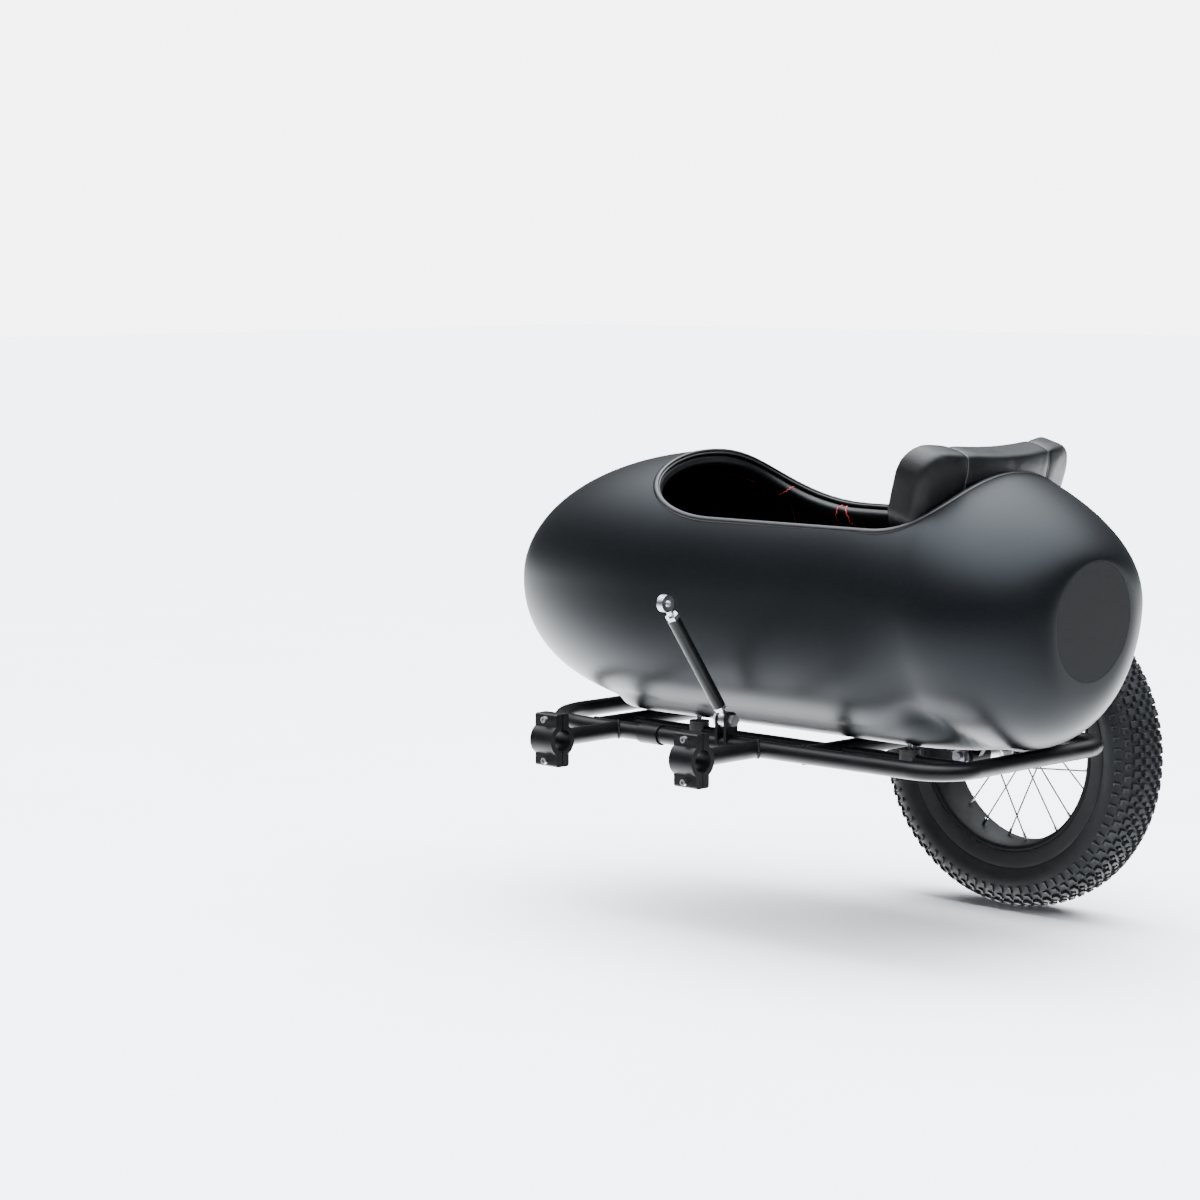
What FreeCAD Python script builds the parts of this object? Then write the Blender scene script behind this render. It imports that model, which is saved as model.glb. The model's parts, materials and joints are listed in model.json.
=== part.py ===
import FreeCAD, Part
import math
import os

# Single-seat sidecar with one wheel, made to bolt to the right side of a bicycle.
# Millimetres. +X points right, away from the bicycle, +Y forward, +Z up.
# The origin is the centre of the rear clamp's bore, where the bicycle's lower tube runs.

V = FreeCAD.Vector

# Bicycle tube that the clamps hold
BIKE_TUBE_D = 31.8
CLAMP_CLEARANCE = 0.1
CLAMP_SPACING = 280.0

# Chassis tubes
LOOP_TUBE_D = 25.4
RAIL_TUBE_D = 19.0
TUBE_WALL = 2.0
LOOP_CENTRE_X = 334.0
LOOP_HALF_GAUGE = 193.0
LOOP_REAR_Y = -343.7
LOOP_JOINT_Y = 210.0
LOOP_FRONT_Y = 470.0
REAR_CORNER_R = 61.0
FRONT_CORNER_R = 120.0
COLLAR_LENGTH = 40.0
COLLAR_WALL = 2.6
CROSS_FRONT_Y = 330.0
RAIL_HALF_GAUGE = 112.0
RAIL_DROP = 3.0
ARM_FIT = 0.15

# Wheel
WHEEL_X = 650.0
AXLE_Y = -86.0
AXLE_Z = -42.5
TYRE_OUTER_R = 248.4
TYRE_HALF_WIDTH = 50.0
TYRE_WIDEST_R = 204.4
TYRE_WALL = 5.0
CASING_POWER = 0.8
TREAD_PITCHES = 80
KNOB_H = 6.0
KNOB_ROOT = 2.0
KNOB_TAPER = 0.86
# Rows of knobs: angle up the casing, offset round the wheel, half length, half width, height
KNOB_ROWS = [(86.5, -4.6, 3.4, 3.2, KNOB_H), (77.5, 4.0, 4.6, 4.6, KNOB_H), (58.0, 3.7, 5.4, 5.4, 4.8)]
BEAD_R = 152.5
RIM_HALF_WIDTH = 36.5
RIM_LIP_R = 159.0
RIM_BED_R = 145.0
RIM_WALL = 2.6
SPOKE_COUNT = 20
SPOKE_D = 2.6
SPOKE_CROSSING_DEG = 72.0
NIPPLE_D = 4.8
NIPPLE_LENGTH = 15.0
NIPPLE_HEAD_D = 6.6
NIPPLE_HEAD_H = 1.6
SPOKE_HEAD_GAP = 0.3
SPOKE_HEAD_H = 1.0
SPOKE_INNER_LIFT = 3.6
SPOKE_OUTER_LIFT = 5.8
RIM_INNER_ROW_X = 4.0
RIM_OUTER_ROW_X = 11.0
FLANGE_R = 33.0
FLANGE_HOLE_R = 29.0
FLANGE_HALF_GAUGE = 27.0
FLANGE_WALL = 3.2
HUB_BARREL_R = 20.5
HUB_HALF_WIDTH = 37.0
STUB_D = 15.0
BEARING_D = 32.0
BEARING_WIDTH = 9.0
RUNNING_CLEARANCE = 0.05
WASHER_GAP = 0.3
VALVE_D = 7.8
VALVE_LENGTH = 34.0

# Body
POD_MID_Z = 218.5
POD_HALF_WIDTH = 210.0
POD_UP = 196.0
POD_DOWN = 208.0
POD_WALL = 5.0
POD_FLOOR_Z = 46.0
KEEL_BOTTOM_Z = 14.0
KEEL_TOP_Z = 80.0
KEEL_HALF_WIDTH = 138.0
KEEL_REAR_Y = -326.0
KEEL_FRONT_Y = 400.0
KEEL_CORNER_R = 110.0
TAIL_START_Y = -277.0
TAIL_END_Y = -448.0
TAIL_PLATE_R = 86.0
TAIL_PLATE_DROP = 15.0
TAIL_PLATE_T = 3.0
TAIL_PLATE_LAND = 1.0
TAIL_TILT_DEG = 3.5
WAIST_Y = -140.0
NOSE_START_Y = 210.0
NOSE_END_Y = 610.0
NOSE_TIP_R = 14.0
NOSE_DROP = 25.5

# Cockpit opening, seen from the side: a low sill that sweeps up at both ends
SILL_RISE = 108.0
ARCH_RISE = 192.0
SILL_REAR_Y = -197.0
SILL_FRONT_Y = 110.0
REAR_SWEEP = 110.0
FRONT_SWEEP = 161.0
BEAD_H = 4.0
BEAD_LIP_OUT = 1.4
BEAD_LIP_IN = 2.6
COAMING_DEPTH = 30.0
COAMING_T = 18.0
LINING_T = 4.0
SOFT_GAP = 0.4

# Seat
PANEL_T = 12.0
RISER_HEIGHT = 54.0
RISER_HALF_WIDTH = 110.0
SEAT_HALF_WIDTH = 160.0
SEAT_REAR_Y = -205.0
SEAT_FRONT_Y = 170.0
SEAT_CORNER_R = 30.0
SEAT_OVERHANG = 20.0
CUSHION_EDGE_R = 14.0
CUSHION_T = 48.0
CUSHION_REAR_GAP = 72.0
BACK_HALF_WIDTH = 166.0
BACK_HEIGHT = 298.0
BACK_T = 52.0
BACK_SAGITTA = 25.0
BACK_LEAN_DEG = 16.2
BACK_CORNER_R = 38.0
BACK_FOOT_Y = -157.0
BACK_BOARD_T = 8.0
BACK_BOARD_HEIGHT = 150.0
BACK_BOARD_HALF_WIDTH = 130.0
MAT_T = 3.0
MAT_CORNER_R = 20.0
MAT_FRONT_Y = 360.0
MAT_GAP = 12.0

# Upper stay
STAY_Y = 62.0
STAY_PIN_Z = 36.0
STAY_TUBE_D = 19.0
STAY_LENGTH = 222.0
STAY_LEAN_DEG = 35.6
EYE_R = 12.5
EYE_T = 11.0
EYE_BORE_R = 5.2
PIN_D = 10.0
EAR_T = 5.0
EAR_GAP = 0.6

# Fasteners
CLAMP_LENGTH = 44.0
CLAMP_WALL = 8.0
CLAMP_SPLIT = 1.5
CLAMP_LUG = 15.0
CLAMP_LUG_T = 13.0
CLAMP_BOLT_D = 6.0
POD_BOLT_D = 8.0
PAD_D = 30.0
BOLT_FIT = 0.15

LOOP_R = LOOP_TUBE_D / 2
RAIL_R = RAIL_TUBE_D / 2
LEFT_X = LOOP_CENTRE_X - LOOP_HALF_GAUGE
RIGHT_X = LOOP_CENTRE_X + LOOP_HALF_GAUGE
HUB = V(WHEEL_X, AXLE_Y, AXLE_Z)
SILL_Z = POD_MID_Z + SILL_RISE
ARCH_Z = POD_MID_Z + ARCH_RISE
TAIL_PLATE_Z = POD_MID_Z - TAIL_PLATE_DROP
NOSE_TIP_Z = POD_MID_Z - NOSE_DROP
CLAMP_BORE_R = BIKE_TUBE_D / 2 + CLAMP_CLEARANCE
CLAMP_R = CLAMP_BORE_R + CLAMP_WALL
SEAT_BOARD_Z = POD_FLOOR_Z + RISER_HEIGHT
CUSHION_Z = SEAT_BOARD_Z + PANEL_T
TAIL_SLOPE = math.tan(math.radians(TAIL_TILT_DEG))


def save(name, shape):
    """Write one sub-part to its own file."""
    solids = shape.Solids
    result = solids[0] if len(solids) == 1 else Part.makeCompound(solids)
    result.exportStep("parts/" + name + ".step")
    box = result.BoundBox
    print("%-22s %2d solids %9.1f cm3  x %.0f..%.0f  y %.0f..%.0f  z %.0f..%.0f" % (
        name, len(solids), result.Volume / 1000, box.XMin, box.XMax, box.YMin, box.YMax,
        box.ZMin, box.ZMax))


def rod(start, end, radius):
    """A round bar from one point to another."""
    run = end - start
    return Part.makeCylinder(radius, run.Length, start, run)


def tube(start, end, radius, bore):
    """A round tube from one point to another."""
    run = end - start
    reach = run.normalize() * 1.0
    return rod(start, end, radius).cut(rod(start - reach, end + reach, bore))


def ring(centre, axis, radius, bore, length):
    """A washer-like ring, centred on a point."""
    half = V(axis).normalize() * (length / 2)
    return tube(centre - half, centre + half, radius, bore)


def box(x0, x1, y0, y1, z0, z1):
    """A box between two corners."""
    return Part.makeBox(x1 - x0, y1 - y0, z1 - z0, V(x0, y0, z0))


def hexagon(centre, axis, across_flats, height):
    """A hexagonal prism that stands on a point and rises along an axis."""
    corner_r = across_flats / math.sqrt(3)
    corners = [V(corner_r * math.cos(math.radians(60 * i)),
                 corner_r * math.sin(math.radians(60 * i)), 0) for i in range(7)]
    prism = Part.Face(Part.makePolygon(corners)).extrude(V(0, 0, height))
    prism.Placement = FreeCAD.Placement(centre, FreeCAD.Rotation(V(0, 0, 1), axis))
    return prism


def revolved(points, centre):
    """A closed outline of (x, r) points turned about the wheel's X axis."""
    outline = [centre + V(x, 0, r) for x, r in points]
    outline.append(outline[0])
    return Part.Face(Part.makePolygon(outline)).revolve(centre, V(1, 0, 0), 360)


def upright_edges(shape):
    """The edges of a block that run up and down."""
    return [e for e in shape.Edges if abs(e.Vertexes[0].Z - e.Vertexes[-1].Z) > 1]


def bent_tube(corners, bend_r, radius, bore):
    """A tube along straight runs joined by arcs of one radius; its ends are open."""
    edges = []
    start = corners[0]
    for before, corner, after in zip(corners, corners[1:], corners[2:]):
        into = (corner - before).normalize()
        out = (after - corner).normalize()
        turn = into.getAngle(out)
        cut_back = bend_r * math.tan(turn / 2)
        first = corner - into * cut_back
        last = corner + out * cut_back
        inward = (out - into).normalize()
        middle = corner + inward * (bend_r / math.cos(turn / 2) - bend_r)
        edges.append(Part.LineSegment(start, first).toShape())
        edges.append(Part.Arc(first, middle, last).toShape())
        start = last
    edges.append(Part.LineSegment(start, corners[-1]).toShape())
    path = Part.Wire(edges)
    along = (corners[1] - corners[0]).normalize()
    solids = []
    for section_r in (radius, bore):
        section = Part.Wire(Part.makeCircle(section_r, corners[0], along))
        solids.append(path.makePipeShell([section], True, False))
    return solids[0].cut(solids[1])


# Chassis

def rear_loop():
    """The U-shaped tube that carries the body and the wheel."""
    return bent_tube([V(LEFT_X, LOOP_JOINT_Y, 0), V(LEFT_X, LOOP_REAR_Y, 0),
                      V(RIGHT_X, LOOP_REAR_Y, 0), V(RIGHT_X, LOOP_JOINT_Y, 0)],
                     REAR_CORNER_R, LOOP_R, LOOP_R - TUBE_WALL)


def front_loop():
    """The bow that closes the ring under the nose."""
    return bent_tube([V(LEFT_X, LOOP_JOINT_Y, 0), V(LEFT_X, LOOP_FRONT_Y, 0),
                      V(RIGHT_X, LOOP_FRONT_Y, 0), V(RIGHT_X, LOOP_JOINT_Y, 0)],
                     FRONT_CORNER_R, LOOP_R, LOOP_R - TUBE_WALL)


def collar(x):
    """The sleeve over the joint of the two loops."""
    return ring(V(x, LOOP_JOINT_Y, 0), V(0, 1, 0), LOOP_R + COLLAR_WALL, LOOP_R, COLLAR_LENGTH)


def side_tube(x):
    """The room that a side tube of the ring fills, for cutting what meets it."""
    return rod(V(x, LOOP_REAR_Y, 0), V(x, LOOP_FRONT_Y, 0), LOOP_R)


def cross_tube(y):
    """A tube from side to side of the ring, coped to the side tubes."""
    bar = tube(V(LEFT_X, y, 0), V(RIGHT_X, y, 0), LOOP_R, LOOP_R - TUBE_WALL)
    return bar.cut(side_tube(LEFT_X)).cut(side_tube(RIGHT_X))


def cross_bar(y):
    """The room that a cross member fills."""
    return rod(V(LEFT_X, y, 0), V(RIGHT_X, y, 0), LOOP_R)


def rail(x, rear_y, front_y):
    """A lower tube between two cross members, coped to both."""
    bar = tube(V(x, rear_y, -RAIL_DROP), V(x, front_y, -RAIL_DROP), RAIL_R, RAIL_R - TUBE_WALL)
    return bar.cut(cross_bar(rear_y)).cut(cross_bar(front_y))


def arm(y):
    """The short tube from the ring's left side to a clamp."""
    bar = tube(V(CLAMP_R + CLAMP_WALL, y, 0), V(LEFT_X, y, 0), LOOP_R, LOOP_R - TUBE_WALL)
    return bar.cut(side_tube(LEFT_X))


# Clamps on the bicycle's lower tube

def clamp_half(y, side):
    """Half of a split clamp: side is 1 for the arm's half and -1 for the cap."""
    half_length = CLAMP_LENGTH / 2
    lug_z = CLAMP_R + CLAMP_LUG
    outer = rod(V(0, y - half_length, 0), V(0, y + half_length, 0), CLAMP_R)
    lugs = box(-CLAMP_LUG_T, CLAMP_LUG_T, y - half_length, y + half_length, -lug_z, lug_z)
    lugs = lugs.makeFillet(4.0, [e for e in lugs.Edges if abs(e.Vertexes[0].Z - e.Vertexes[-1].Z) < 1
                                 and abs(e.Vertexes[0].Y - e.Vertexes[-1].Y) > 1])
    shape = outer.fuse(lugs)
    if side > 0:
        neck_end = CLAMP_R + CLAMP_WALL
        shape = shape.fuse(rod(V(0, y, 0), V(neck_end, y, 0), LOOP_R))
        shape = shape.fuse(rod(V(neck_end, y, 0), V(neck_end + LOOP_TUBE_D, y, 0),
                               LOOP_R - TUBE_WALL - ARM_FIT))
        keep = box(CLAMP_SPLIT / 2, 200, y - 60, y + 60, -80, 80)
    else:
        keep = box(-200, -CLAMP_SPLIT / 2, y - 60, y + 60, -80, 80)
    shape = shape.common(keep)
    shape = shape.cut(rod(V(0, y - 60, 0), V(0, y + 60, 0), CLAMP_BORE_R))
    for z in clamp_bolt_heights():
        hole_r = CLAMP_BOLT_D / 2 + BOLT_FIT
        shape = shape.cut(rod(V(-60, y, z), V(CLAMP_LUG_T + 1, y, z), hole_r))
    return shape.removeSplitter()


def clamp_bolt_heights():
    """Where the two bolts of a clamp cross it, above and below the bore."""
    height = CLAMP_R + CLAMP_LUG / 2 - 1
    return (-height, height)


def clamp_bolt(y, z):
    """A socket-head bolt with its nut, through both halves of a clamp."""
    head_r = CLAMP_BOLT_D * 0.8
    face = -CLAMP_LUG_T
    bolt = rod(V(face - CLAMP_BOLT_D, y, z), V(face, y, z), head_r)
    bolt = bolt.cut(hexagon(V(face - CLAMP_BOLT_D - 0.1, y, z), V(1, 0, 0), 5.0, 3.5))
    bolt = bolt.fuse(rod(V(face, y, z), V(CLAMP_LUG_T + CLAMP_BOLT_D, y, z), CLAMP_BOLT_D / 2))
    nut = hexagon(V(CLAMP_LUG_T, y, z), V(1, 0, 0), CLAMP_BOLT_D * 1.65, CLAMP_BOLT_D * 0.8)
    return bolt.fuse(nut)


# Axle

def axle_carrier():
    """The gusset under the right side tube, with the boss that the stub axle is bolted in."""
    plate_t = 10.0
    reach = 46.0
    boss_r = 19.0
    left = RIGHT_X - plate_t / 2
    outline = [V(left, AXLE_Y - reach, 0), V(left, AXLE_Y + reach, 0),
               V(left, AXLE_Y + boss_r, AXLE_Z), V(left, AXLE_Y - boss_r, AXLE_Z)]
    outline.append(outline[0])
    plate = Part.Face(Part.makePolygon(outline)).extrude(V(plate_t, 0, 0))
    boss = rod(V(RIGHT_X - 18, AXLE_Y, AXLE_Z), V(RIGHT_X + 26, AXLE_Y, AXLE_Z), boss_r)
    shape = plate.fuse(boss).cut(side_tube(RIGHT_X)).cut(cross_bar(AXLE_Y))
    bore = rod(V(RIGHT_X - 40, AXLE_Y, AXLE_Z), V(RIGHT_X + 60, AXLE_Y, AXLE_Z),
               STUB_D / 2 + RUNNING_CLEARANCE)
    return shape.cut(bore).removeSplitter()


def stub_axle():
    """The cantilever axle: a ground shaft with a shoulder against the carrier."""
    inner_end = RIGHT_X - 18
    hub_inner = WHEEL_X - HUB_HALF_WIDTH
    hub_outer = WHEEL_X + HUB_HALF_WIDTH
    shaft = rod(V(inner_end - 17, AXLE_Y, AXLE_Z), V(hub_outer + 12, AXLE_Y, AXLE_Z), STUB_D / 2)
    shoulder = rod(V(RIGHT_X + 26, AXLE_Y, AXLE_Z), V(hub_inner - WASHER_GAP, AXLE_Y, AXLE_Z),
                   STUB_D / 2 + 3.5)
    return shaft.fuse(shoulder).removeSplitter()


def axle_nut(x, direction):
    """A nut and its washer on the stub axle, rising from a face along X."""
    bore = STUB_D / 2
    washer = ring(V(x + direction * 1.25, AXLE_Y, AXLE_Z), V(1, 0, 0), 13.0, bore, 2.5)
    nut = hexagon(V(x + direction * 2.5, AXLE_Y, AXLE_Z), V(direction, 0, 0), 22.0, 9.0)
    shape = washer.fuse(nut)
    return shape.cut(rod(V(x - 30, AXLE_Y, AXLE_Z), V(x + 30, AXLE_Y, AXLE_Z), bore))


# Wheel

def hub_shell():
    """The hub: a barrel between two drilled flanges, bored for the bearings."""
    points = [(-HUB_HALF_WIDTH, BEARING_D / 2), (-HUB_HALF_WIDTH, HUB_BARREL_R)]
    for side in (-1, 1):
        inner = side * FLANGE_HALF_GAUGE - FLANGE_WALL / 2
        outer = side * FLANGE_HALF_GAUGE + FLANGE_WALL / 2
        points += [(inner, HUB_BARREL_R), (inner, FLANGE_R), (outer, FLANGE_R), (outer, HUB_BARREL_R)]
    step = HUB_HALF_WIDTH - BEARING_WIDTH
    web_r = BEARING_D / 2 - 2
    points += [(HUB_HALF_WIDTH, HUB_BARREL_R), (HUB_HALF_WIDTH, BEARING_D / 2),
               (step, BEARING_D / 2), (step, web_r), (-step, web_r), (-step, BEARING_D / 2)]
    shell = revolved(points, HUB)
    holes = []
    for side in (-1, 1):
        for index in range(SPOKE_COUNT // 2):
            foot = spoke_foot(side, index, 0)
            reach = V(FLANGE_WALL, 0, 0)
            holes.append(rod(foot - reach, foot + reach, SPOKE_D / 2 + BOLT_FIT))
    return shell.cut(Part.makeCompound(holes))


def bearing(side):
    """A sealed ball bearing in one end of the hub."""
    centre = HUB + V(side * (HUB_HALF_WIDTH - BEARING_WIDTH / 2), 0, 0)
    return ring(centre, V(1, 0, 0), BEARING_D / 2, STUB_D / 2 + RUNNING_CLEARANCE, BEARING_WIDTH)


def dust_cap():
    """The domed cap that covers the outer axle nut."""
    start = HUB_HALF_WIDTH
    cap_r = HUB_BARREL_R - 1.0
    wall = 1.6
    depth = 18.0
    return revolved([(start, cap_r - wall), (start, cap_r), (start + depth - 5, cap_r),
                     (start + depth - 1.5, cap_r - 3.5), (start + depth, cap_r - 8),
                     (start + depth, 0), (start + depth - wall, 0),
                     (start + depth - wall, cap_r - 8), (start + depth - 5, cap_r - wall)], HUB)


def rim():
    """The wide rim: a shallow bed with a step at each bead and a rolled lip, drilled for spokes."""
    well_x = RIM_HALF_WIDTH * 0.45
    seat_x = RIM_HALF_WIDTH * 0.62
    wall_x = RIM_HALF_WIDTH - RIM_WALL
    right = [(well_x, RIM_BED_R), (seat_x, BEAD_R - RIM_WALL), (wall_x, BEAD_R - RIM_WALL),
             (RIM_HALF_WIDTH, BEAD_R), (RIM_HALF_WIDTH, RIM_LIP_R), (wall_x, RIM_LIP_R),
             (wall_x, BEAD_R), (seat_x, BEAD_R), (well_x, RIM_BED_R + RIM_WALL)]
    left = [(-x, r) for x, r in reversed(right)]
    shape = revolved(right + left, HUB)
    holes = [rod(*nipple_axis(side, index), NIPPLE_D / 2 + BOLT_FIT)
             for side in (-1, 1) for index in range(SPOKE_COUNT // 2)]
    holes.append(rod(HUB + V(0, 0, RIM_BED_R - 10), HUB + V(0, 0, RIM_BED_R + 10),
                     VALVE_D / 2 + BOLT_FIT))
    return shape.cut(Part.makeCompound(holes))


def around_wheel(x, radius, angle_deg):
    """A point of the wheel at a radius and an angle from straight up."""
    angle = math.radians(angle_deg)
    return HUB + V(x, radius * math.sin(angle), radius * math.cos(angle))


def spoke_angles(side, index):
    """The angles of a spoke's two ends: at the hub's flange and at the rim."""
    step = 720.0 / SPOKE_COUNT
    at_hub = index * step + (step / 2 if side > 0 else 0) + step / 4
    lead = SPOKE_CROSSING_DEG if index % 2 else -SPOKE_CROSSING_DEG
    return at_hub, at_hub + lead


def spoke_lift(index):
    """How far a spoke's elbow stands off the middle of its flange, outward if positive."""
    return SPOKE_OUTER_LIFT if index % 2 else -SPOKE_INNER_LIFT


def spoke_foot(side, index, lift):
    """The point of a spoke that stands off the middle of its flange by a lift."""
    x = side * (FLANGE_HALF_GAUGE + lift)
    return around_wheel(x, FLANGE_HOLE_R, spoke_angles(side, index)[0])


def spoke_line(side, index):
    """A spoke's run from its elbow to the rim's bed."""
    row_x = RIM_OUTER_ROW_X if index % 2 else RIM_INNER_ROW_X
    end = around_wheel(side * row_x, RIM_BED_R, spoke_angles(side, index)[1])
    return spoke_foot(side, index, spoke_lift(index)), end


def nipple_axis(side, index):
    """The line of a nipple's hole through the rim's bed."""
    start, end = spoke_line(side, index)
    along = (end - start).normalize()
    return end - along * NIPPLE_LENGTH, end + along * (RIM_WALL * 3)


def spoke(side, index):
    """One spoke: a head in the flange, an elbow and a straight run to its nipple."""
    start, end = spoke_line(side, index)
    along = (end - start).normalize()
    stop = end - along * (NIPPLE_LENGTH - 3)
    outward = 1 if index % 2 else -1
    back = spoke_foot(side, index, -outward * (FLANGE_WALL / 2 + SPOKE_HEAD_GAP))
    tip = spoke_foot(side, index, -outward * (FLANGE_WALL / 2 + SPOKE_HEAD_GAP + SPOKE_HEAD_H))
    run = rod(start, stop, SPOKE_D / 2)
    stem = rod(back, start, SPOKE_D / 2)
    head = rod(tip, back, SPOKE_D / 2 + SPOKE_HEAD_H)
    elbow = Part.makeSphere(SPOKE_D / 2, start)
    return run.fuse([stem, elbow, head])


def nipple(side, index):
    """The nipple that pulls a spoke tight against the rim's bed."""
    start, end = spoke_line(side, index)
    along = (end - start).normalize()
    head_start = end + along * (RIM_WALL + 1.4)
    body = rod(end - along * (NIPPLE_LENGTH - 3), head_start, NIPPLE_D / 2)
    head = rod(head_start, head_start + along * NIPPLE_HEAD_H, NIPPLE_HEAD_D / 2)
    return body.fuse(head)


def casing_point(angle_deg, inset=0.0):
    """A point of the casing as (x, r): 0 degrees on its widest line and 90 on its crown."""
    angle = math.radians(angle_deg)
    rise = TYRE_OUTER_R - KNOB_H - inset - TYRE_WIDEST_R
    width = TYRE_HALF_WIDTH - inset
    return width * math.cos(angle) ** CASING_POWER, TYRE_WIDEST_R + rise * math.sin(angle)


def casing_curve(inset):
    """The casing's outline from bead to bead, drawn in by a wall."""
    width = TYRE_HALF_WIDTH - inset
    fall = TYRE_WIDEST_R - (RIM_LIP_R + SOFT_GAP)
    lowest = math.acos((RIM_HALF_WIDTH - RIM_WALL - SOFT_GAP - inset) / width)
    side = []
    for step in range(6, 0, -1):
        angle = lowest * step / 6
        side.append((width * math.cos(angle),
                     TYRE_WIDEST_R - fall * math.sin(angle) / math.sin(lowest)))
    side += [casing_point(10 * step, inset) for step in range(10)]
    outline = side + [(-x, r) for x, r in reversed(side[:-1])]
    curve = Part.BSplineCurve()
    curve.interpolate([HUB + V(x, 0, r) for x, r in outline])
    return curve.toShape()


def casing_sector(pitch_deg):
    """One pitch of the casing, open at its beads."""
    outer = casing_curve(0.0)
    inner = casing_curve(TYRE_WALL)
    foot_z = HUB.z + BEAD_R + SOFT_GAP
    edges = [outer, inner]
    for end in (0, -1):
        out = outer.Vertexes[end].Point
        into = inner.Vertexes[end].Point
        corners = [out, V(out.x, out.y, foot_z), V(into.x, into.y, foot_z), into]
        edges += [Part.LineSegment(a, b).toShape() for a, b in zip(corners, corners[1:])]
    face = Part.Face(Part.Wire(Part.sortEdges(edges)[0]))
    face.rotate(HUB, V(1, 0, 0), -pitch_deg / 2)
    return face.revolve(HUB, V(1, 0, 0), pitch_deg)


def knob(side, angle_deg, offset, half_length, half_width, height):
    """One tapered knob that stands square on the casing, rooted in its wall."""
    (x0, r0), (x1, r1) = casing_point(angle_deg - 1), casing_point(angle_deg + 1)
    chord = math.hypot(x1 - x0, r1 - r0)
    turn = -side * offset / r0
    radial = V(0, math.sin(turn), math.cos(turn))
    around = V(0, math.cos(turn), -math.sin(turn))
    away = V(side * (r1 - r0) / chord, 0, 0) + radial * ((x0 - x1) / chord)
    across = around.cross(away)
    foot = HUB + V(side * (x0 + x1) / 2, 0, 0) + radial * ((r0 + r1) / 2)
    top_length = half_length * KNOB_TAPER
    top_width = half_width * KNOB_TAPER
    block = Part.makeWedge(-half_length, -KNOB_ROOT, -half_width, -top_width, -top_length,
                           half_length, height, half_width, top_width, top_length)
    block.Placement = FreeCAD.Placement(FreeCAD.Matrix(
        around.x, away.x, across.x, foot.x, around.y, away.y, across.y, foot.y,
        around.z, away.z, across.z, foot.z, 0, 0, 0, 1))
    return block


def tyre():
    """The fat tyre: a round casing open at its beads, with its main knobs, drawn for one pitch
    and turned round the wheel."""
    pitch_deg = 360.0 / TREAD_PITCHES
    knobs = [knob(side, *row) for side in (-1, 1) for row in KNOB_ROWS]
    faces = []
    for face in casing_sector(pitch_deg).fuse(knobs).Faces:
        centre = face.CenterOfMass - HUB
        lean_deg = abs(math.degrees(math.atan2(centre.y, centre.z)))
        if lean_deg < pitch_deg / 2 - 0.0001:
            faces.append(face)
    skin = []
    for index in range(TREAD_PITCHES):
        for face in faces:
            turned = face.copy()
            turned.rotate(HUB, V(1, 0, 0), index * pitch_deg)
            skin.append(turned)
    sewn = Part.makeCompound(skin)
    sewn.sewShape()
    return Part.Solid(sewn.Shells[0])


def valve_stem():
    """The valve through the rim's bed."""
    top = HUB + V(0, 0, RIM_BED_R + RIM_WALL + 6)
    return rod(top - V(0, 0, VALVE_LENGTH), top, VALVE_D / 2)


def valve_cap():
    """The screw cap on the valve."""
    end = HUB + V(0, 0, RIM_BED_R + RIM_WALL + 6 - VALVE_LENGTH)
    return rod(end - V(0, 0, 6.0), end, VALVE_D / 2 + 0.9)


# Body

def round_off(u, power):
    """How wide a form still is at a share u of its run-out: 1 at the start, 0 at the end."""
    return max(0.0, 1.0 - u ** power) ** (1.0 / power)


def body_section(y):
    """Half-width, height up and down, centre height, the two curve powers and the tilt."""
    u, end_r, end_z, powers = 0.0, 0.0, POD_MID_Z, (2.0, 2.0, 2.0)
    if y < TAIL_START_Y:
        u = (TAIL_START_Y - y) / (TAIL_START_Y - TAIL_END_Y)
        end_r, end_z, powers = TAIL_PLATE_R, TAIL_PLATE_Z, (2.0, 1.25, 2.66)
    elif y > NOSE_START_Y:
        u = (y - NOSE_START_Y) / (NOSE_END_Y - NOSE_START_Y)
        end_r, end_z, powers = NOSE_TIP_R, NOSE_TIP_Z, (2.2, 2.0, 2.2)
    width, up, down = [end_r + (full - end_r) * round_off(u, power) for full, power in
                       zip((POD_HALF_WIDTH, POD_UP, POD_DOWN), powers)]
    left_over = round_off(u, 2.0)
    centre_z = end_z + (POD_MID_Z - end_z) * left_over
    if y < TAIL_START_Y:
        return width, up, down, centre_z, 2.0, 2.0 - 0.16 * left_over, u * TAIL_SLOPE
    share = min(1.0, (y - TAIL_START_Y) / (WAIST_Y - TAIL_START_Y))
    fullness = share * share * (3 - 2 * share) * left_over
    return width, up, down, centre_z, 2.0 + 0.2 * fullness, 1.84 + 0.76 * fullness, 0.0


def section_wire(y, inset):
    """The body's outline across one station, drawn in by a wall."""
    width, up, down, centre_z, upper_power, lower_power, tilt = body_section(y)
    count = 36
    points = []
    for index in range(count):
        angle = 2 * math.pi * index / count
        c, s = math.cos(angle), math.sin(angle)
        power = upper_power if s > 0 else lower_power
        height = (up if s > 0 else down) - inset
        x = (width - inset) * math.copysign(abs(c) ** (2 / power), c)
        z = height * math.copysign(abs(s) ** (2 / power), s)
        points.append(V(LOOP_CENTRE_X + x, y - z * tilt, centre_z + z))
    curve = Part.BSplineCurve()
    curve.interpolate(points, PeriodicFlag=True)
    return Part.Wire(curve.toShape())


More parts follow.
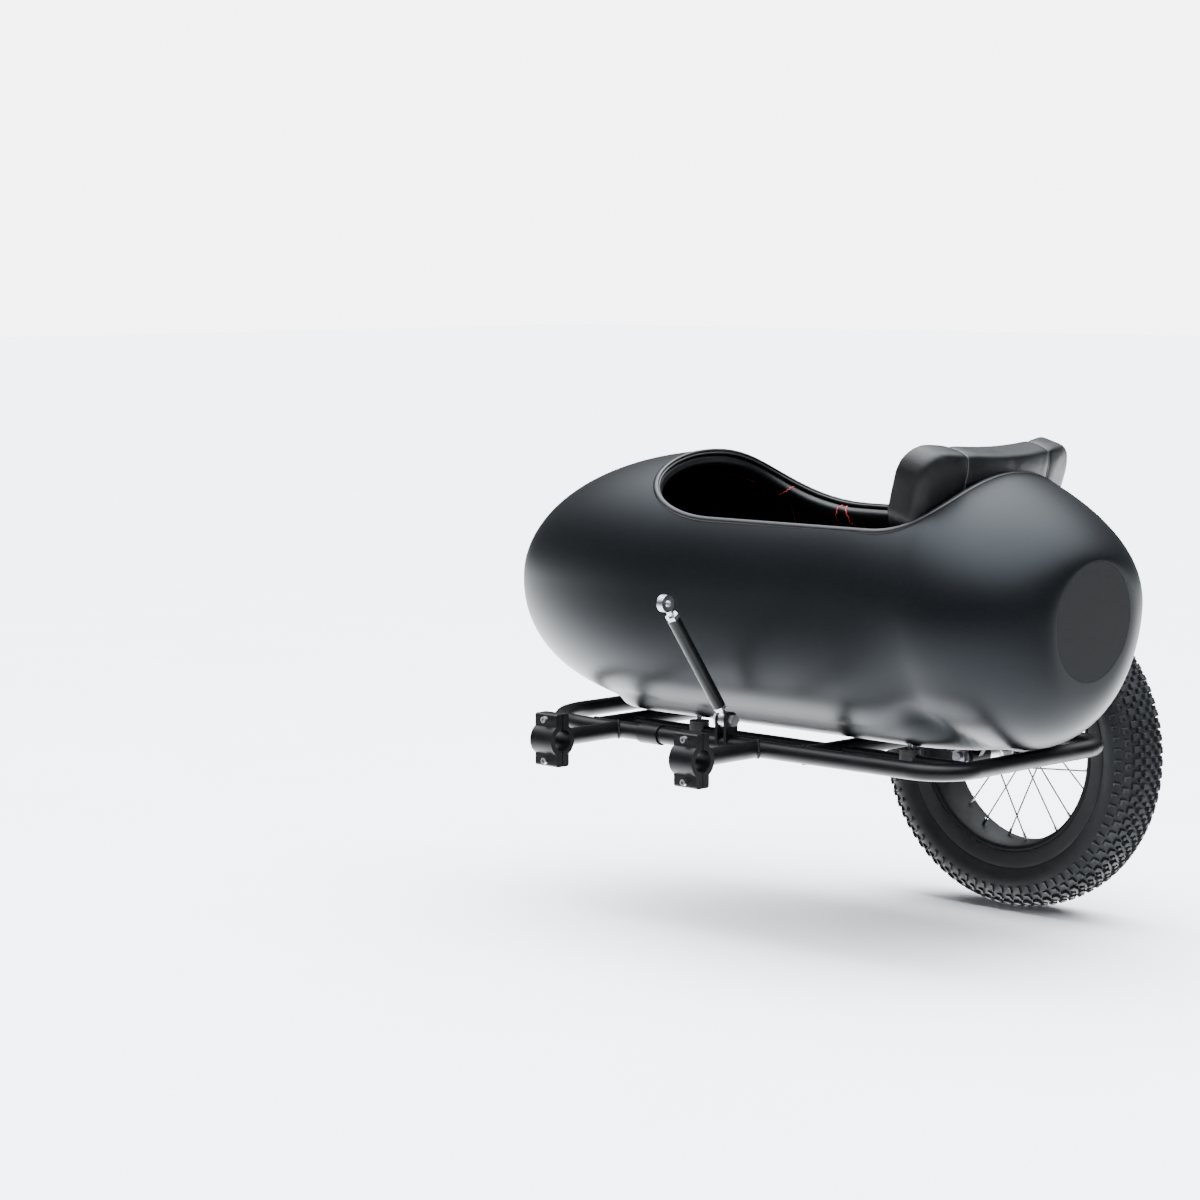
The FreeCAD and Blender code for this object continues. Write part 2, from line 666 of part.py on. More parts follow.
def body_solid(inset):
    """The body's smooth form, drawn in by a wall all round."""
    stations = []
    for degrees in (90, 78, 66, 54, 42, 30, 15):
        stations.append(TAIL_START_Y - (TAIL_START_Y - TAIL_END_Y) * math.sin(math.radians(degrees)))
    stations += [TAIL_START_Y, WAIST_Y, 0.0, 110.0, NOSE_START_Y]
    for degrees in (14, 28, 42, 55, 67, 78, 90):
        stations.append(NOSE_START_Y + (NOSE_END_Y - NOSE_START_Y) * math.sin(math.radians(degrees)))
    middle = (TAIL_END_Y + NOSE_END_Y) / 2
    half = (NOSE_END_Y - TAIL_END_Y) / 2
    squeeze = (half - inset) / half
    wires = []
    for y in stations:
        wire = section_wire(y, min(inset, NOSE_TIP_R / 2) if y == stations[-1] else inset)
        wire.translate(V(0, (middle + (y - middle) * squeeze) - y, 0))
        wires.append(wire)
    return Part.makeLoft(wires, True, False)


def cockpit_cut(grow):
    """The room above the sill line, wide enough to cut the whole body; grow lowers the line."""
    x = LOOP_CENTRE_X - POD_HALF_WIDTH - 50
    low = SILL_Z - grow
    roof_z = ARCH_Z + 60
    rear_low, rear_top = V(x, SILL_REAR_Y, low), V(x, SILL_REAR_Y - REAR_SWEEP - grow, ARCH_Z)
    front_low, front_top = V(x, SILL_FRONT_Y, low), V(x, SILL_FRONT_Y + FRONT_SWEEP + grow, ARCH_Z)
    corners = [front_top, V(x, front_top.y, roof_z), V(x, rear_top.y, roof_z), rear_top]
    edges = [sweep_up(rear_low, rear_top), Part.LineSegment(rear_low, front_low).toShape(),
             sweep_up(front_low, front_top)]
    edges += [Part.LineSegment(a, b).toShape() for a, b in zip(corners, corners[1:])]
    outline = Part.Wire(Part.__sortEdges__(edges))
    return Part.Face(outline).extrude(V(2 * (POD_HALF_WIDTH + 50), 0, 0))


def sweep_up(low, top):
    """A quarter of an ellipse, level at its low end and upright at its top."""
    curve = Part.BSplineCurve()
    curve.interpolate([V(low.x, low.y + (top.y - low.y) * math.sin(math.radians(turn)),
                         top.z - (top.z - low.z) * math.cos(math.radians(turn)))
                       for turn in range(0, 91, 10)])
    return curve.toShape()


def keel():
    """The shallow plinth under the body, with round corners in plan."""
    x0, x1 = LOOP_CENTRE_X - KEEL_HALF_WIDTH, LOOP_CENTRE_X + KEEL_HALF_WIDTH
    block = box(x0, x1, KEEL_REAR_Y, KEEL_FRONT_Y, KEEL_BOTTOM_Z, KEEL_TOP_Z)
    return block.makeFillet(KEEL_CORNER_R, upright_edges(block))


def below(z):
    """All the room below a height."""
    return box(LOOP_CENTRE_X - 400, LOOP_CENTRE_X + 400, TAIL_END_Y - 100, NOSE_END_Y + 100, z - 400, z)


def pod_shell(outer, cavity):
    """The moulded body: hull and keel in one, hollow above its floor and open at the cockpit."""
    shape = outer.fuse(keel()).cut(below(KEEL_BOTTOM_Z))
    shape = shape.cut(cavity.cut(below(POD_FLOOR_Z))).cut(cockpit_cut(0))
    for x, y in pad_places():
        shape = shape.cut(rod(V(x, y, 0), V(x, y, POD_FLOOR_Z - 6), POD_BOLT_D / 2 + BOLT_FIT))
    return shape.cut(tail_disc(TAIL_PLATE_R - TAIL_PLATE_LAND, 20.0))


def tail_disc(radius, proud):
    """A disc in the tail's tilted end plane, as deep as the plate and proud by a height."""
    centre = V(LOOP_CENTRE_X, TAIL_END_Y, TAIL_PLATE_Z)
    disc = rod(centre - V(0, proud, 0), centre + V(0, TAIL_PLATE_T, 0), radius)
    disc.rotate(centre, V(1, 0, 0), TAIL_TILT_DEG)
    return disc


def tail_plate():
    """The flush round plate in the tail."""
    return tail_disc(TAIL_PLATE_R - TAIL_PLATE_LAND - SOFT_GAP, 0.0)


def rim_bead(inner_form):
    """The trim strip that sits on the sill's edge."""
    band = body_solid(-BEAD_LIP_OUT).cut(inner_form)
    return band.common(cockpit_cut(0)).cut(cockpit_cut(-BEAD_H))


def coaming(behind, inner_form):
    """The padded band inside the sill."""
    band = behind.cut(inner_form)
    return band.common(cockpit_cut(COAMING_DEPTH)).cut(cockpit_cut(SOFT_GAP))


def lining(behind):
    """The trim that covers the body's inside, from the floor to the coaming."""
    skin = behind.cut(body_solid(POD_WALL + SOFT_GAP + LINING_T))
    skin = skin.cut(below(POD_FLOOR_Z + SOFT_GAP))
    return skin.cut(cockpit_cut(COAMING_DEPTH + SOFT_GAP))


def floor_mat():
    """The rubber mat where the feet rest."""
    half = RISER_HALF_WIDTH - PANEL_T
    mat = box(LOOP_CENTRE_X - half, LOOP_CENTRE_X + half, SEAT_FRONT_Y + MAT_GAP, MAT_FRONT_Y,
              POD_FLOOR_Z, POD_FLOOR_Z + MAT_T)
    return mat.makeFillet(MAT_CORNER_R, upright_edges(mat))


# Seat

def riser_side(side):
    """A side panel of the seat's box."""
    x = LOOP_CENTRE_X + side * RISER_HALF_WIDTH
    return box(min(x, x - side * PANEL_T), max(x, x - side * PANEL_T), SEAT_REAR_Y + SEAT_OVERHANG,
               SEAT_FRONT_Y - SEAT_OVERHANG - PANEL_T, POD_FLOOR_Z, SEAT_BOARD_Z)


def riser_front():
    """The front panel of the seat's box."""
    y = SEAT_FRONT_Y - SEAT_OVERHANG
    return box(LOOP_CENTRE_X - RISER_HALF_WIDTH, LOOP_CENTRE_X + RISER_HALF_WIDTH,
               y - PANEL_T, y, POD_FLOOR_Z, SEAT_BOARD_Z)


def seat_board():
    """The board that the cushion lies on."""
    board = box(LOOP_CENTRE_X - SEAT_HALF_WIDTH, LOOP_CENTRE_X + SEAT_HALF_WIDTH,
                SEAT_REAR_Y, SEAT_FRONT_Y, SEAT_BOARD_Z, CUSHION_Z)
    return board.makeFillet(SEAT_CORNER_R, upright_edges(board))


def seat_cushion():
    """The seat cushion, plain and closed."""
    cushion = box(LOOP_CENTRE_X - SEAT_HALF_WIDTH, LOOP_CENTRE_X + SEAT_HALF_WIDTH,
                  SEAT_REAR_Y + CUSHION_REAR_GAP, SEAT_FRONT_Y, CUSHION_Z, CUSHION_Z + CUSHION_T)
    cushion = cushion.makeFillet(SEAT_CORNER_R, upright_edges(cushion))
    top = [e for e in cushion.Edges if e.BoundBox.ZMin > CUSHION_Z + CUSHION_T - 0.1]
    return cushion.makeFillet(CUSHION_EDGE_R, top)


def leaned(shape):
    """A backrest piece drawn upright at the seat's foot, leaned back into place."""
    foot = V(LOOP_CENTRE_X, BACK_FOOT_Y, CUSHION_Z + CUSHION_T + SOFT_GAP)
    shape.translate(foot)
    shape.rotate(foot, V(1, 0, 0), BACK_LEAN_DEG)
    return shape


def back_cushion(inside_coaming):
    """The backrest: a thick pad, bowed in plan, that narrows where it stands in the body."""
    half = BACK_HALF_WIDTH
    front = Part.Arc(V(-half, 0, 0), V(0, -BACK_SAGITTA, 0), V(half, 0, 0)).toShape()
    rear = Part.Arc(V(half, -BACK_T, 0), V(0, -BACK_T - BACK_SAGITTA, 0), V(-half, -BACK_T, 0)).toShape()
    ends = [Part.LineSegment(V(half, 0, 0), V(half, -BACK_T, 0)).toShape(),
            Part.LineSegment(V(-half, -BACK_T, 0), V(-half, 0, 0)).toShape()]
    pad = Part.Face(Part.Wire([front, ends[0], rear, ends[1]])).extrude(V(0, 0, BACK_HEIGHT))
    frame = box(-half, half, -BACK_T - BACK_SAGITTA - 5, 5, 0, BACK_HEIGHT)
    shoulders = [e for e in frame.Edges if abs(e.Vertexes[0].Y - e.Vertexes[-1].Y) > 1
                 and e.BoundBox.ZMin > BACK_HEIGHT - 1]
    pad = leaned(pad.common(frame.makeFillet(BACK_CORNER_R, shoulders)))
    above_sill = pad.common(cockpit_cut(-BEAD_H - SOFT_GAP))
    return pad.common(inside_coaming).fuse(above_sill).removeSplitter()


def back_board():
    """The flat board behind the lower half of the backrest."""
    y = -BACK_T - BACK_SAGITTA - SOFT_GAP
    board = box(-BACK_BOARD_HALF_WIDTH, BACK_BOARD_HALF_WIDTH, y - BACK_BOARD_T, y, 8.0,
                BACK_BOARD_HEIGHT)
    return leaned(board)


def back_bracket(side):
    """The angle that holds the back board on the seat board."""
    x = LOOP_CENTRE_X + side * 80.0
    lean = math.tan(math.radians(BACK_LEAN_DEG))
    foot_z = CUSHION_Z + CUSHION_T + SOFT_GAP
    board_y = BACK_FOOT_Y - (BACK_T + BACK_SAGITTA + SOFT_GAP + BACK_BOARD_T) / math.cos(
        math.radians(BACK_LEAN_DEG))
    low_y = board_y - (CUSHION_Z - foot_z) * lean
    high_z = foot_z + 70.0
    high_y = board_y - 70.0 * lean
    outline = [V(x - 12, low_y, CUSHION_Z), V(x - 12, low_y - 4, CUSHION_Z),
               V(x - 12, high_y - 4, high_z), V(x - 12, high_y, high_z)]
    outline.append(outline[0])
    strap = Part.Face(Part.makePolygon(outline)).extrude(V(24, 0, 0))
    foot = box(x - 12, x + 12, low_y - 3, low_y + 40, CUSHION_Z, CUSHION_Z + 4)
    return strap.fuse(foot).removeSplitter()


# Body mounting

def pad_places():
    """Where the four rubber pads stand on the rails."""
    return [(LOOP_CENTRE_X + side * RAIL_HALF_GAUGE, y) for side in (-1, 1) for y in (-215.0, 190.0)]


def pod_pad(x, y):
    """A rubber pad saddled on a rail."""
    pad = rod(V(x, y, -RAIL_DROP), V(x, y, KEEL_BOTTOM_Z), PAD_D / 2)
    pad = pad.cut(rod(V(x, y - PAD_D, -RAIL_DROP), V(x, y + PAD_D, -RAIL_DROP), RAIL_R))
    return pad.cut(rod(V(x, y, -40), V(x, y, 40), POD_BOLT_D / 2 + BOLT_FIT))


def pod_bolt(x, y):
    """The bolt from under a rail up into the body's floor."""
    under = -RAIL_DROP - RAIL_R
    washer = rod(V(x, y, under - 2.5), V(x, y, under - 0.5), 9.0)
    head = hexagon(V(x, y, under - 2.5 - 5.3), V(0, 0, 1), 13.0, 5.3)
    shank = rod(V(x, y, under - 2.5), V(x, y, POD_FLOOR_Z - 8), POD_BOLT_D / 2)
    return washer.fuse([head, shank])


def drilled_rail(x, rear_y, front_y):
    """A rail with the holes of its pads' bolts."""
    shape = rail(x, rear_y, front_y)
    for pad_x, y in pad_places():
        if pad_x == x and rear_y < y < front_y:
            shape = shape.cut(rod(V(x, y, -40), V(x, y, 40), POD_BOLT_D / 2 + BOLT_FIT))
    return shape


# Upper stay

def stay_point(distance):
    """A point of the stay's centre line, measured from its lower pin."""
    lean = math.radians(STAY_LEAN_DEG)
    return V(LEFT_X - distance * math.sin(lean), STAY_Y, STAY_PIN_Z + distance * math.cos(lean))


def stay_bracket():
    """Two ears welded on the ring's left tube, with the lower pin's hole."""
    ears = []
    for side in (-1, 1):
        inner = STAY_Y + side * (EYE_T / 2 + EAR_GAP)
        outer = inner + side * EAR_T
        y0, y1 = min(inner, outer), max(inner, outer)
        outline = [V(LEFT_X - LOOP_R, y0, 0), V(LEFT_X + LOOP_R, y0, 0),
                   V(LEFT_X + EYE_R, y0, STAY_PIN_Z), V(LEFT_X - EYE_R, y0, STAY_PIN_Z)]
        outline.append(outline[0])
        ear = Part.Face(Part.makePolygon(outline)).extrude(V(0, y1 - y0, 0))
        ear = ear.fuse(rod(V(LEFT_X, y0, STAY_PIN_Z), V(LEFT_X, y1, STAY_PIN_Z), EYE_R))
        ears.append(ear.cut(side_tube(LEFT_X)))
    hole = rod(V(LEFT_X, STAY_Y - 60, STAY_PIN_Z), V(LEFT_X, STAY_Y + 60, STAY_PIN_Z), PIN_D / 2)
    return Part.makeCompound([ear.cut(hole).removeSplitter() for ear in ears])


def stay_pin():
    """The lower pin: a bolt with its nut."""
    reach = EYE_T / 2 + EAR_GAP + EAR_T
    start = V(LEFT_X, STAY_Y - reach, STAY_PIN_Z)
    end = V(LEFT_X, STAY_Y + reach, STAY_PIN_Z)
    shank = rod(start, end + V(0, 11, 0), PIN_D / 2)
    head = hexagon(start - V(0, 6.4, 0), V(0, 1, 0), 16.0, 6.4)
    nut = hexagon(end, V(0, 1, 0), 16.0, 8.0)
    return shank.fuse([head, nut])


def stay_eye(distance, direction, bore_r):
    """A rod end: an eye with a threaded shank that points along the stay."""
    centre = stay_point(distance)
    along = (stay_point(1) - stay_point(0)) * direction
    across = V(0, EYE_T / 2, 0)
    eye = rod(centre - across, centre + across, EYE_R)
    shank = rod(centre + along * (EYE_R - 3), centre + along * 46, PIN_D / 2)
    hole = rod(centre - across * 3, centre + across * 3, bore_r)
    return eye.fuse(shank).cut(hole).removeSplitter()


def stay_nut(distance, direction):
    """The lock nut between a rod end and the stay's tube."""
    start = stay_point(distance)
    along = (stay_point(1) - stay_point(0)) * direction
    nut = hexagon(start, along, 17.0, 6.0)
    return nut.cut(rod(start - along * 5, start + along * 12, PIN_D / 2))


def stay_tube():
    """The stay's tube, bored at both ends for the rod ends."""
    bar = rod(stay_point(28), stay_point(STAY_LENGTH - 28), STAY_TUBE_D / 2)
    along = stay_point(1) - stay_point(0)
    for distance, direction in ((28, 1), (STAY_LENGTH - 28, -1)):
        mouth = stay_point(distance) - along * direction
        bar = bar.cut(rod(mouth, mouth + along * direction * 24, PIN_D / 2 + 0.02))
    return bar


def main():
    os.makedirs("parts", exist_ok=True)
    save("rear_loop", rear_loop())
    save("front_loop", front_loop())
    save("collar_left", collar(LEFT_X))
    save("collar_right", collar(RIGHT_X))
    save("axle_cross_tube", cross_tube(AXLE_Y))
    save("front_cross_tube", cross_tube(CROSS_FRONT_Y))
    for name, side in (("left", -1), ("right", 1)):
        x = LOOP_CENTRE_X + side * RAIL_HALF_GAUGE
        save("rear_rail_" + name, drilled_rail(x, LOOP_REAR_Y, AXLE_Y))
        save("front_rail_" + name, drilled_rail(x, AXLE_Y, CROSS_FRONT_Y))

    for name, y in (("rear", 0.0), ("front", CLAMP_SPACING)):
        save(name + "_arm", arm(y))
        save(name + "_clamp_body", clamp_half(y, 1))
        save(name + "_clamp_cap", clamp_half(y, -1))
        bolts = [clamp_bolt(y, z) for z in clamp_bolt_heights()]
        save(name + "_clamp_bolts", Part.makeCompound(bolts))

    save("axle_carrier", axle_carrier())
    save("stub_axle", stub_axle())
    save("axle_nut_inner", axle_nut(RIGHT_X - 18, -1))
    save("axle_nut_outer", axle_nut(WHEEL_X + HUB_HALF_WIDTH + WASHER_GAP, 1))

    save("hub_shell", hub_shell())
    save("bearing_inner", bearing(-1))
    save("bearing_outer", bearing(1))
    save("dust_cap", dust_cap())
    save("rim", rim())
    for name, side in (("left", -1), ("right", 1)):
        indices = range(SPOKE_COUNT // 2)
        save("spokes_" + name, Part.makeCompound([spoke(side, i) for i in indices]))
        save("nipples_" + name, Part.makeCompound([nipple(side, i) for i in indices]))
    save("tyre", tyre())
    save("valve_stem", valve_stem())
    save("valve_cap", valve_cap())

    outer = body_solid(0.0)
    cavity = body_solid(POD_WALL)
    behind = body_solid(POD_WALL + SOFT_GAP)
    save("pod_shell", pod_shell(outer, cavity))
    save("tail_plate", tail_plate())
    save("rim_bead", rim_bead(body_solid(POD_WALL + BEAD_LIP_IN)))
    save("coaming_pad", coaming(behind, body_solid(POD_WALL + SOFT_GAP + COAMING_T)))
    save("lining", lining(behind))
    save("floor_mat", floor_mat())
    save("riser_left", riser_side(-1))
    save("riser_right", riser_side(1))
    save("riser_front", riser_front())
    save("seat_board", seat_board())
    save("seat_cushion", seat_cushion())
    save("back_cushion", back_cushion(body_solid(POD_WALL + 2 * SOFT_GAP + COAMING_T)))
    save("back_board", back_board())
    save("back_bracket_left", back_bracket(-1))
    save("back_bracket_right", back_bracket(1))
    save("pod_pads", Part.makeCompound([pod_pad(x, y) for x, y in pad_places()]))
    save("pod_bolts", Part.makeCompound([pod_bolt(x, y) for x, y in pad_places()]))

    save("stay_bracket", stay_bracket())
    save("stay_pin", stay_pin())
    save("stay_tube", stay_tube())
    save("stay_lower_eye", stay_eye(0, 1, PIN_D / 2 + RUNNING_CLEARANCE))
    save("stay_upper_eye", stay_eye(STAY_LENGTH, -1, EYE_BORE_R))
    save("stay_lower_nut", stay_nut(22, 1))
    save("stay_upper_nut", stay_nut(STAY_LENGTH - 22, -1))


main()
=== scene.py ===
"""Dresses the sidecar's frame: paint, leather, rubber, seams, tread, welds, floor and light.

Metres, +X away from the bicycle, +Y forward, +Z up. Every piece is drawn in place, so each
object sits at the origin and its place is in its mesh.
"""

import json
import math

import bmesh
import bpy
import numpy as np
from bpy.props import FloatProperty, FloatVectorProperty, IntProperty, PointerProperty
from mathutils import Matrix, Vector


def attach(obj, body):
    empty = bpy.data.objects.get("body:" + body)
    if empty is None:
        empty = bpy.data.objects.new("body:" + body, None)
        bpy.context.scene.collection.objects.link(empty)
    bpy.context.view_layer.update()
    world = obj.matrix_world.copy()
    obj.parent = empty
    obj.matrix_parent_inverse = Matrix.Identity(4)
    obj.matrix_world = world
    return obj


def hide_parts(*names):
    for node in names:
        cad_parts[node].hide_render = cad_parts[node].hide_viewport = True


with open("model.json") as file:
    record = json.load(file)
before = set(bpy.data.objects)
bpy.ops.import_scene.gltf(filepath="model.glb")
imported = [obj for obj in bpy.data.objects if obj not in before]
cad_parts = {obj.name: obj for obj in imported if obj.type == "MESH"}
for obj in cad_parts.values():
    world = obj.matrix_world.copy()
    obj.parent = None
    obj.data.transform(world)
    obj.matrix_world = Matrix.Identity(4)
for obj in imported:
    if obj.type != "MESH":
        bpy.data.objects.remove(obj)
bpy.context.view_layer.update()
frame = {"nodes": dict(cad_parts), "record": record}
NODES = frame["nodes"]

bl_info = {
    "name": "Sidecar dressing",
    "version": (1, 0, 0),
    "blender": (4, 5, 0),
    "location": "3D View > Sidebar > Sidecar",
    "description": "Upholstery, paint, tyre, seams and stage for a single-seat sidecar",
    "category": "Object",
}

MM = 0.001


# Sizes and colours that a user can change

def length(name, description, millimetres):
    return FloatProperty(name=name, description=description, default=millimetres * MM, unit="LENGTH")


def colour(name, description, rgb):
    return FloatVectorProperty(name=name, description=description, default=rgb, size=3,
                               subtype="COLOR", min=0.0, max=1.0)


class BodySizes(bpy.types.PropertyGroup):
    centre_x: length("Centre", "Distance of the body's middle from the bicycle's tube", 334.0)
    middle_z: length("Middle height", "Height of the widest line", 218.5)
    half_width: length("Half width", "From the middle to a side", 210.0)
    up: length("Rise", "From the widest line to the crown", 196.0)
    down: length("Fall", "From the widest line to the keel", 208.0)
    wall: length("Wall", "Thickness of the moulding", 5.0)
    floor_z: length("Floor", "Height of the inside floor", 46.0)
    tail_start: length("Tail start", "Where the tail starts to close", -277.0)
    tail_end: length("Tail end", "Where the tail plate lies", -448.0)
    tail_plate_r: length("Tail plate radius", "Radius of the flat round tail", 86.0)
    tail_plate_z: length("Tail plate height", "Height of the tail plate's centre", 203.5)
    nose_start: length("Nose start", "Where the nose starts to close", 210.0)
    nose_end: length("Nose end", "Where the nose ends", 610.0)
    nose_tip_r: length("Nose tip radius", "Radius of the blunt tip", 14.0)
    nose_tip_z: length("Nose tip height", "Height of the tip", 193.0)
    keel_bottom: length("Keel bottom", "Height of the flat underside", 14.0)
    keel_half_width: length("Keel half width", "Half the plinth's width", 138.0)
    keel_rear: length("Keel rear", "Rear end of the plinth", -326.0)
    keel_front: length("Keel front", "Front end of the plinth", 400.0)
    keel_corner_r: length("Keel corner radius", "Plan radius of the plinth's corners", 110.0)
    keel_rake: FloatProperty(name="Keel rake", description="How much the plinth's sides lean outwards",
                             default=0.45)
    crease: length("Crease softness", "How softly the hull flows into the plinth", 7.0)
    sill_z: length("Sill height", "Height of the low part of the cockpit's edge", 326.5)
    sill_rear: length("Sill rear", "Where the edge starts to sweep up to the rear", -197.0)
    sill_front: length("Sill front", "Where the edge starts to sweep up to the front", 110.0)
    rear_sweep: length("Rear sweep", "Length of the rear sweep", 110.0)
    front_sweep: length("Front sweep", "Length of the front sweep", 161.0)
    arch_z: length("Arch height", "Height where the sweeps end", 410.5)


class SeatSizes(bpy.types.PropertyGroup):
    back_half_width: length("Backrest half width", "Half the backrest's width", 166.0)
    back_neck: length("Backrest neck", "Half its width inside the body", 151.0)
    back_height: length("Backrest height", "Along its lean", 298.0)
    back_thickness: length("Backrest thickness", "Before it is stuffed", 52.0)
    back_bow: length("Backrest bow", "Depth of its curve in plan", 25.0)
    back_corner_r: length("Backrest corner", "Radius of its upper corners", 42.0)
    back_foot_y: length("Backrest foot", "Where its front face meets the seat", -157.0)
    back_lean: FloatProperty(name="Lean", description="Backward lean of the backrest",
                             default=math.radians(16.2), subtype="ANGLE")
    seam_x: length("Seam offset", "Distance of the two long seams from the middle", 93.0)
    seat_half_width: length("Seat half width", "Half the seat cushion's width", 160.0)
    seat_rear: length("Seat rear", "Rear edge of the seat cushion", -133.0)
    seat_front: length("Seat front", "Front edge of the seat cushion", 170.0)
    seat_base: length("Seat base", "Height of the cushion's underside", 112.0)
    seat_thickness: length("Seat thickness", "Before it is stuffed", 48.0)


class WheelSizes(bpy.types.PropertyGroup):
    hub: FloatVectorProperty(name="Hub", description="Centre of the wheel", size=3,
                             default=(0.650, -0.086, -0.0425), subtype="XYZ", unit="LENGTH")
    tyre_r: length("Tyre radius", "Over the knobs", 248.4)
    half_width: length("Tyre half width", "Half the casing's width", 50.0)
    widest_r: length("Widest radius", "Radius of the casing's widest line", 204.4)
    knob: length("Knob height", "Height of the tallest knobs", 6.0)
    lip_r: length("Rim lip radius", "Radius of the rim's edge", 159.0)
    rim_half_width: length("Rim half width", "Half the rim's width", 36.5)
    bed_r: length("Rim bed radius", "Radius of the rim's bed", 145.0)
    bead_r: length("Bead radius", "Radius of the tyre's seat", 152.5)
    pitches: IntProperty(name="Tread pitches", description="Tread pitches around the tyre",
                         default=80, min=8)


class Finishes(bpy.types.PropertyGroup):
    paint: colour("Body paint", "Satin anthracite of the body", (0.0020, 0.0022, 0.0026))
    chassis: colour("Chassis paint", "Black powder coat", (0.0020, 0.0021, 0.0024))
    leather: colour("Leather", "Black upholstery", (0.0024, 0.0026, 0.0030))
    trim: colour("Trim", "Rubber edge trim", (0.005, 0.005, 0.0055))
    thread: colour("Thread", "Contrast thread", (0.62, 0.022, 0.030))
    rubber: colour("Tyre rubber", "Tyre compound", (0.0066, 0.0070, 0.0080))
    floor: colour("Floor", "Studio floor", (0.86, 0.865, 0.875))


# Small tools for meshes

def mesh_object(name, points, faces, smooth=True):
    """A new object at the origin from points and faces."""
    mesh = bpy.data.meshes.new(name)
    mesh.from_pydata([tuple(p) for p in points], [], faces)
    mesh.polygons.foreach_set("use_smooth", [smooth] * len(mesh.polygons))
    mesh.update()
    piece = bpy.data.objects.new(name, mesh)
    bpy.context.scene.collection.objects.link(piece)
    return piece


def edit_mesh(piece, change):
    """Run a change on an object's mesh as bmesh."""
    work = bmesh.new()
    work.from_mesh(piece.data)
    change(work)
    work.to_mesh(piece.data)
    work.free()
    piece.data.update()


def clean(piece, distance=1e-6):
    """Merge doubles and turn faces outwards."""
    def change(work):
        bmesh.ops.remove_doubles(work, verts=work.verts, dist=distance)
        bmesh.ops.dissolve_degenerate(work, edges=work.edges, dist=1e-7)
        bmesh.ops.recalc_face_normals(work, faces=work.faces)
    edit_mesh(piece, change)


def sharpen(piece, degrees):
    """Mark the edges that turn by more than an angle as sharp."""
    limit = math.radians(degrees)

    def change(work):
        for edge in work.edges:
            edge.smooth = not (len(edge.link_faces) == 2 and edge.calc_face_angle(0.0) > limit)
    edit_mesh(piece, change)


def evaluated(piece):
    """Bake an object's modifiers into its mesh."""
    graph = bpy.context.evaluated_depsgraph_get()
    graph.update()
    mesh = bpy.data.meshes.new_from_object(piece.evaluated_get(graph))
    old = piece.data
    piece.modifiers.clear()
    piece.data = mesh
    mesh.name = piece.name
    if old.users == 0:
        bpy.data.meshes.remove(old)
    return piece


def coordinates(piece):
    flat = np.zeros(len(piece.data.vertices) * 3)
    piece.data.vertices.foreach_get("co", flat)
    return flat.reshape(-1, 3)


def set_coordinates(piece, points):
    piece.data.vertices.foreach_set("co", np.asarray(points, float).ravel())
    piece.data.update()


def normals(piece):
    flat = np.zeros(len(piece.data.vertices) * 3)
    piece.data.vertex_normals.foreach_get("vector", flat)
    return flat.reshape(-1, 3)


def grid_faces(rows, columns, close_rows=False, close_columns=True, start=0):
    """Quads between rows of points; a closed direction joins its last line to its first."""
    faces = []
    for i in range(rows if close_rows else rows - 1):
        for j in range(columns if close_columns else columns - 1):
            k = (j + 1) % columns
            n = (i + 1) % rows
            faces.append((start + i * columns + j, start + i * columns + k,
                          start + n * columns + k, start + n * columns + j))
    return faces


def wear(piece, material):
    """Give a piece one material."""
    piece.data.materials.clear()
    piece.data.materials.append(material)


def finish_piece(piece, material, body, replaces=()):
    """Give a piece its material and body, and hide the CAD nodes it takes the place of."""
    wear(piece, material)
    if replaces:
        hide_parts(*replaces)
    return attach(piece, body)


# Small tools for node trees

def add_node(tree, kind, inputs=None, **settings):
    node = tree.nodes.new(kind)
    for name, value in settings.items():
        setattr(node, name, value)
    for name, value in (inputs or {}).items():
        if isinstance(value, bpy.types.NodeSocket):
            tree.links.new(value, node.inputs[name])
        else:
            node.inputs[name].default_value = value
    return node


def ramp(tree, value, stops):
    """A colour ramp through (place, grey or rgb) stops."""
    node = add_node(tree, "ShaderNodeValToRGB", {0: value})
    elements = node.color_ramp.elements
    while len(elements) < len(stops):
        elements.new(0.5)
    for element, (place, shade) in zip(elements, stops):
        rgb = shade if isinstance(shade, (tuple, list)) else (shade,) * 3
        element.position = place
        element.color = (*rgb, 1.0)
    return node.outputs["Color"]


def noise(tree, where, scale, detail=3.0, roughness=0.5):
    return add_node(tree, "ShaderNodeTexNoise", {"Vector": where, "Scale": scale, "Detail": detail,
                                                 "Roughness": roughness}).outputs["Fac"]


def cells(tree, where, scale, feature="F1", output="Distance"):
    return add_node(tree, "ShaderNodeTexVoronoi", {"Vector": where, "Scale": scale},
                    feature=feature).outputs[output]


def maths(tree, operation, first, second=0.5):
    return add_node(tree, "ShaderNodeMath", {0: first, 1: second}, operation=operation).outputs[0]


def mixed_colour(tree, share, first, second):
    """Two colours mixed by a share."""
    node = add_node(tree, "ShaderNodeMix", data_type="RGBA")
    for socket, value in ((node.inputs[0], share), (node.inputs[6], first), (node.inputs[7], second)):
        if isinstance(value, bpy.types.NodeSocket):
            tree.links.new(value, socket)
        else:
            socket.default_value = value
    return node.outputs[2]


